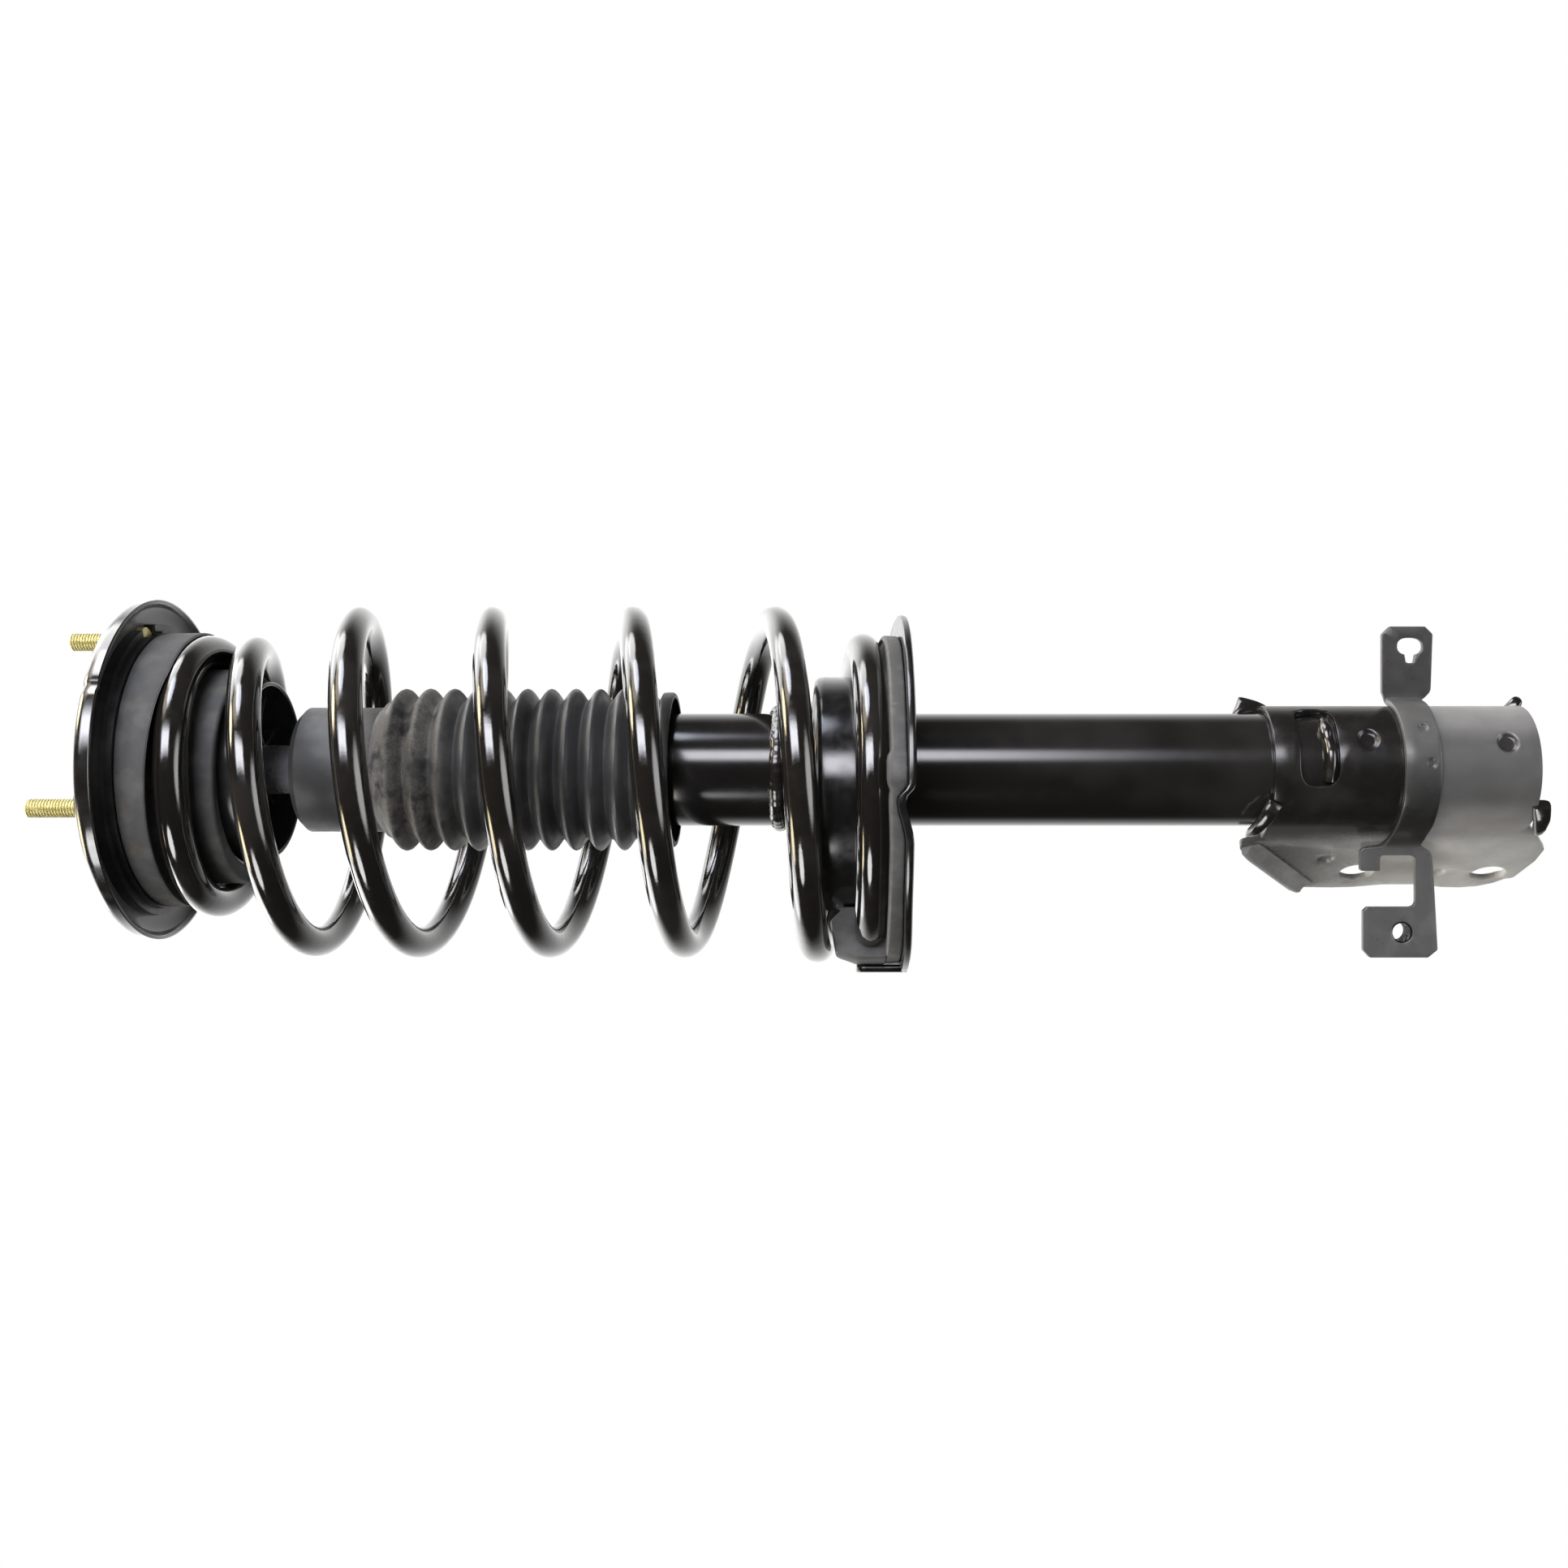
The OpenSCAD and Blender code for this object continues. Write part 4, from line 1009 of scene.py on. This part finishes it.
def hose_bracket():
    def flat(s):
        p = UP * s + TOW * 1.5
        return (p.x, p.y)

    reach = WRAP_OUT + 1.5
    bend = reach + 0.6
    line = [flat(UPPER_END - (UPPER_END - bend) * k / 4) for k in range(4)] + [flat(bend)]
    wrap = arc(reach, degrees(TAB) - 9, -180, 5.0)
    rough = line + wrap + [(-reach, 6), (-reach, 14.85)] + [flat(-s) for s in (45, 60, LOWER_END)]
    radii = [0.0] * len(rough)
    radii[len(line) - 1], radii[len(line) + len(wrap) + 1] = 3.4, 4.0
    path = Path(fillet(rough, radii, closed=False, steps=6))
    path.normals = [-n if n.dot(p) < 0 and abs(p.length - reach) < 3 else n
                    for n, p in zip(path.normals, path.points)]
    # Keep one face outward all along
    for i in range(1, len(path.normals)):
        if path.normals[i].dot(path.normals[i - 1]) < 0:
            path.normals[i] = -path.normals[i]

    def upper(s):
        return UPPER_END - s

    def lower(s):
        return path.at[-1] - (LOWER_END - s)

    strap_foot, strap_top = -578.0, -562.4
    outline = [(upper(65), -580.2), (upper(61.5), -583.7), (upper(35.5), -582.8), (upper(30.5), strap_foot),
               (lower(34), strap_foot), (lower(37.5), -583.6), (lower(81.8), -586), (lower(85.3), -581.6),
               (lower(85.3), -555.2), (lower(81.8), -552), (lower(64.0), -552), (lower(62.2), -554),
               (lower(62.2), -575.7), (lower(38.9), -575.7), (lower(38.9), -560), (lower(46), -560),
               (lower(46), -550.7), (lower(35.5), -550.7), (lower(34), strap_top), (upper(30.5), strap_top),
               (upper(35.5), -560.6), (upper(61.5), -560.6), (upper(65), -564.1)]
    corner = [1.5, 1.5, 4, 4, 3, 5, 1.5, 1.5, 1.5, 1.5, 1.2, 1.2, 3.0, 3.0, 1.5, 1.0, 1.5, 3, 4, 4, 4, 1.5,
              1.5]
    outline = fillet(outline, corner, steps=4)
    # The upper tab's keyhole: a flattened ring with a slot towards the tab's root
    key = []
    for k in range(41):
        c, s = cos(radians(160 - 8 * k)), sin(radians(160 - 8 * k))
        key.append((upper(56.0 + 3.9 * copysign(abs(c) ** 0.8, c)),
                    -573.3 + 5.7 * copysign(abs(s) ** 0.8, s)))
    key += [(upper(48.8), -575.1), (upper(48.4), -574.2), (upper(48.4), -572.4), (upper(48.8), -571.5)]
    hole_s, hole_z, nut_hole = 73.8, -569.7, 4.6
    dishes = []
    for angle, z in ((TAB - pi / 2 + radians(33), -571.5), (TAB - pi / 2 + radians(6), -573.5)):
        p = Vector((reach * cos(angle), reach * sin(angle)))
        best = min(range(len(path.points)), key=lambda i: (path.points[i] - p).length)
        dishes.append((path.at[best], z, 2.3, 0.9, False))
    sheet_mesh("hose_bracket_pressing", outline, [key, circle(lower(hole_s), hole_z, 4.8)], 3.0, 0.45, path,
               "hose", "strut_body", ("hose_bracket",), dishes=dishes, grid=6.0)
    # The weld nut behind the lower tab, its thread coming up through the sheet
    n = 48
    rows = [ring(r, z, n) for r, z in ((4.9, -3.05), (7.0, -3.05), (7.5, -3.6), (7.5, -11.4), (7.0, -11.95),
                                       (5.4, -11.95), (4.8, -11.5))]
    for i in range(61):
        z = -11.4 + 11.0 * i / 60
        rows.append(ring(lambda a: nut_hole - 0.5 * thread_cut(a, z, 1.25, 1.0), z, n))
    rows.append(ring(4.78, -0.32, n))
    turn = Matrix(((-UP.x, 0, TOW.x), (-UP.y, 0, TOW.y), (0, 1, 0))).to_4x4()
    turn.translation = (-UP * hole_s + TOW * 3.0 + Vector((0, 0, hole_z))) * MM
    piece("hose_bracket_nut", *rows_mesh(rows), "weld", "strut_body", ("hose_bracket",), sharp=40, place=turn)


mount_plate()
studs()
rod_and_nut()
jounce_cup()
isolator_band()
boot()
spring()
tube()
seat_weld()
lower_seat()
lower_isolator()
knuckle_bracket()
bracket_welds()
hose_bracket()

# ------------------------ CAD nodes that keep their own mesh

KEPT = {
    "mount_cup": "seat", "mount_rubber": "rubber", "mount_sleeve": "steel", "bearing_housing": "plastic",
    "bearing_upper_race": "steel", "rebound_bumper": "rubber", "rebound_stop": "steel", "piston": "iron",
    "piston_band": "ptfe", "valve_shims": "steel", "piston_nut": "steel", "bearing_balls": "chrome",
    "bearing_cage": "nylon", "bearing_lower_race": "steel", "upper_spring_seat": "seat", "tube_cap": "steel",
    "rod_seal": "rubber", "rod_guide": "iron", "guide_bush": "bronze", "inner_cylinder": "steel",
    "foot_valve": "iron", "foot_valve_disc": "steel", "base_cup": "tube"}
for name, finish in KEPT.items():
    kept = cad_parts[name]
    look = M[finish][1]
    if not kept.material_slots:
        kept.data.materials.append(look)
    for place in kept.material_slots:
        place.material = look
for name, width in {"bearing_housing": 0.0006, "mount_rubber": 0.0008, "mount_cup": 0.0005}.items():
    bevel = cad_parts[name].modifiers.new("edges", "BEVEL")
    bevel.width = width
    bevel.segments = 2
    bevel.limit_method = "ANGLE"
    bevel.angle_limit = radians(50)
    bevel.harden_normals = True

# ------------------------ floor, light and camera

def studio():
    world = bpy.data.worlds.new("studio")
    scene.world = world
    world.use_nodes = True
    tree = world.node_tree
    tree.nodes.clear()
    way = node(tree, "ShaderNodeTexCoord").outputs["Generated"]

    def along(v):
        return measure(tree, "DOT_PRODUCT", way, v)

    toward, upward, z = along(TOW), along(UP), along((0, 0, 1))
    parts = [(ramp(tree, upward, -1.0, 1.0, 0.04, 0.085), (1.0, 0.95, 0.88))]
    # The white behind the object, which comes further round at the mount's end
    behind = math_node(tree, "SUBTRACT", multiply(tree, math_node(tree, "MAXIMUM", z, 0.0), 0.55), toward)
    parts.append((multiply(tree, ramp(tree, behind, 0.36, 0.9), ramp(tree, z, 0.15, 0.6, 1.15, 2.6),
                           ramp(tree, z, -0.5, 0.0, 0.55, 1.0)), (1, 1, 1)))
    # A tall soft box above the camera's left
    tilt = radians(29)
    off = math_node(tree, "ABSOLUTE", along(UP * cos(tilt) - TOW * sin(tilt)))
    facing = ramp(tree, along(TOW * cos(tilt) + UP * sin(tilt)), 0.0, 0.3)
    parts.append((multiply(tree, ramp(tree, off, 0.26, 0.06), facing, ramp(tree, z, -0.19, -0.03),
                           ramp(tree, z, 0.72, 0.56), 12.0), (0.97, 0.97, 1.05)))
    # Lamps: the way to each along TOW, UP and Z, where its edge starts and ends, its power and its colour.
    # The first three are warm and stand off the mount's end, and the last two are the side boxes.
    for (t, u, v), inner, outer, power, tone in (
            ((0.12, 0.42, 0.9), 0.993, 0.978, 15.0, (1.0, 0.84, 0.55)),
            ((0.12, -0.42, 0.9), 0.993, 0.978, 11.0, (1.0, 0.84, 0.55)),
            ((0.3, 0.8, 0.54), 0.985, 0.95, 3.2, (1.0, 0.88, 0.7)),
            ((-0.12, 0.88, 0.46), 0.985, 0.95, 6.0, (1, 1, 1)),
            ((-0.25, -0.6, 0.76), 0.985, 0.95, 5.0, (1, 1, 1)),
            ((-0.25, 0.6, 0.76), 0.985, 0.95, 4.0, (1, 1, 1)), ((0.4, 0.1, -0.9), 0.98, 0.9, 4.0, (1, 1, 1)),
            ((0.56, -0.77, 0.32), 0.985, 0.965, 9.0, (1, 1, 1)),
            ((0.3, 0.9, 0.32), 0.985, 0.965, 9.0, (0.9, 0.95, 1.1))):
        lamp = (TOW * t + UP * u + Vector((0, 0, v))).normalized()
        parts.append((multiply(tree, ramp(tree, along(lamp), outer, inner), power), tone))
    total = None
    for value, tone in parts:
        lit = node(tree, "ShaderNodeVectorMath", {0: tone, 3: value}, operation="SCALE").outputs[0]
        total = lit if total is None else node(tree, "ShaderNodeVectorMath", {0: total, 1: lit},
                                               operation="ADD").outputs[0]
    camera_split(tree, "ShaderNodeOutputWorld", node(tree, "ShaderNodeBackground", {"Color": total}),
                 node(tree, "ShaderNodeBackground", {"Color": (1, 1, 1, 1)}))


def camera_split(tree, output, unseen, seen):
    """Sends one shader to the camera and another to everything else."""
    is_camera = node(tree, "ShaderNodeLightPath").outputs["Is Camera Ray"]
    both = node(tree, "ShaderNodeMixShader", {0: is_camera, 1: unseen.outputs[0], 2: seen.outputs[0]})
    tree.links.new(both.outputs[0], node(tree, output).inputs[0])


def floor_disc():
    """A wide floor that looks pure white and casts nothing onto the object."""
    mesh = bpy.data.meshes.new("floor")
    mesh.from_pydata(ring(6.0, -0.70, 96), [], [tuple(range(96))])
    floor_object = bpy.data.objects.new("floor", mesh)
    scene.collection.objects.link(floor_object)
    mat = bpy.data.materials.new("floor_white")
    mat.use_nodes = True
    tree = mat.node_tree
    tree.nodes.clear()
    camera_split(tree, "ShaderNodeOutputMaterial", node(tree, "ShaderNodeBsdfTransparent"),
                 node(tree, "ShaderNodeEmission", {"Color": (1, 1, 1, 1)}))
    mesh.materials.append(mat)


def camera():
    """Looks at the strut from the strap's side, with the mount at image left."""
    distance, middle, lift = 0.7576, -0.324, -0.0065
    data = bpy.data.cameras.new("camera")
    made = bpy.data.objects.new("camera", data)
    scene.collection.objects.link(made)
    place = Matrix((Vector((0, 0, -1)), UP, TOW)).transposed().to_4x4()
    place.translation = Vector((0, 0, middle)) + TOW * distance + UP * lift
    made.matrix_world = place
    data.sensor_width = 36
    data.lens = 38.2
    data.shift_x = -0.0487
    data.clip_start = 0.01
    scene.camera = made


studio()
floor_disc()
camera()
scene.view_settings.view_transform = "Standard"
bpy.context.view_layer.update()
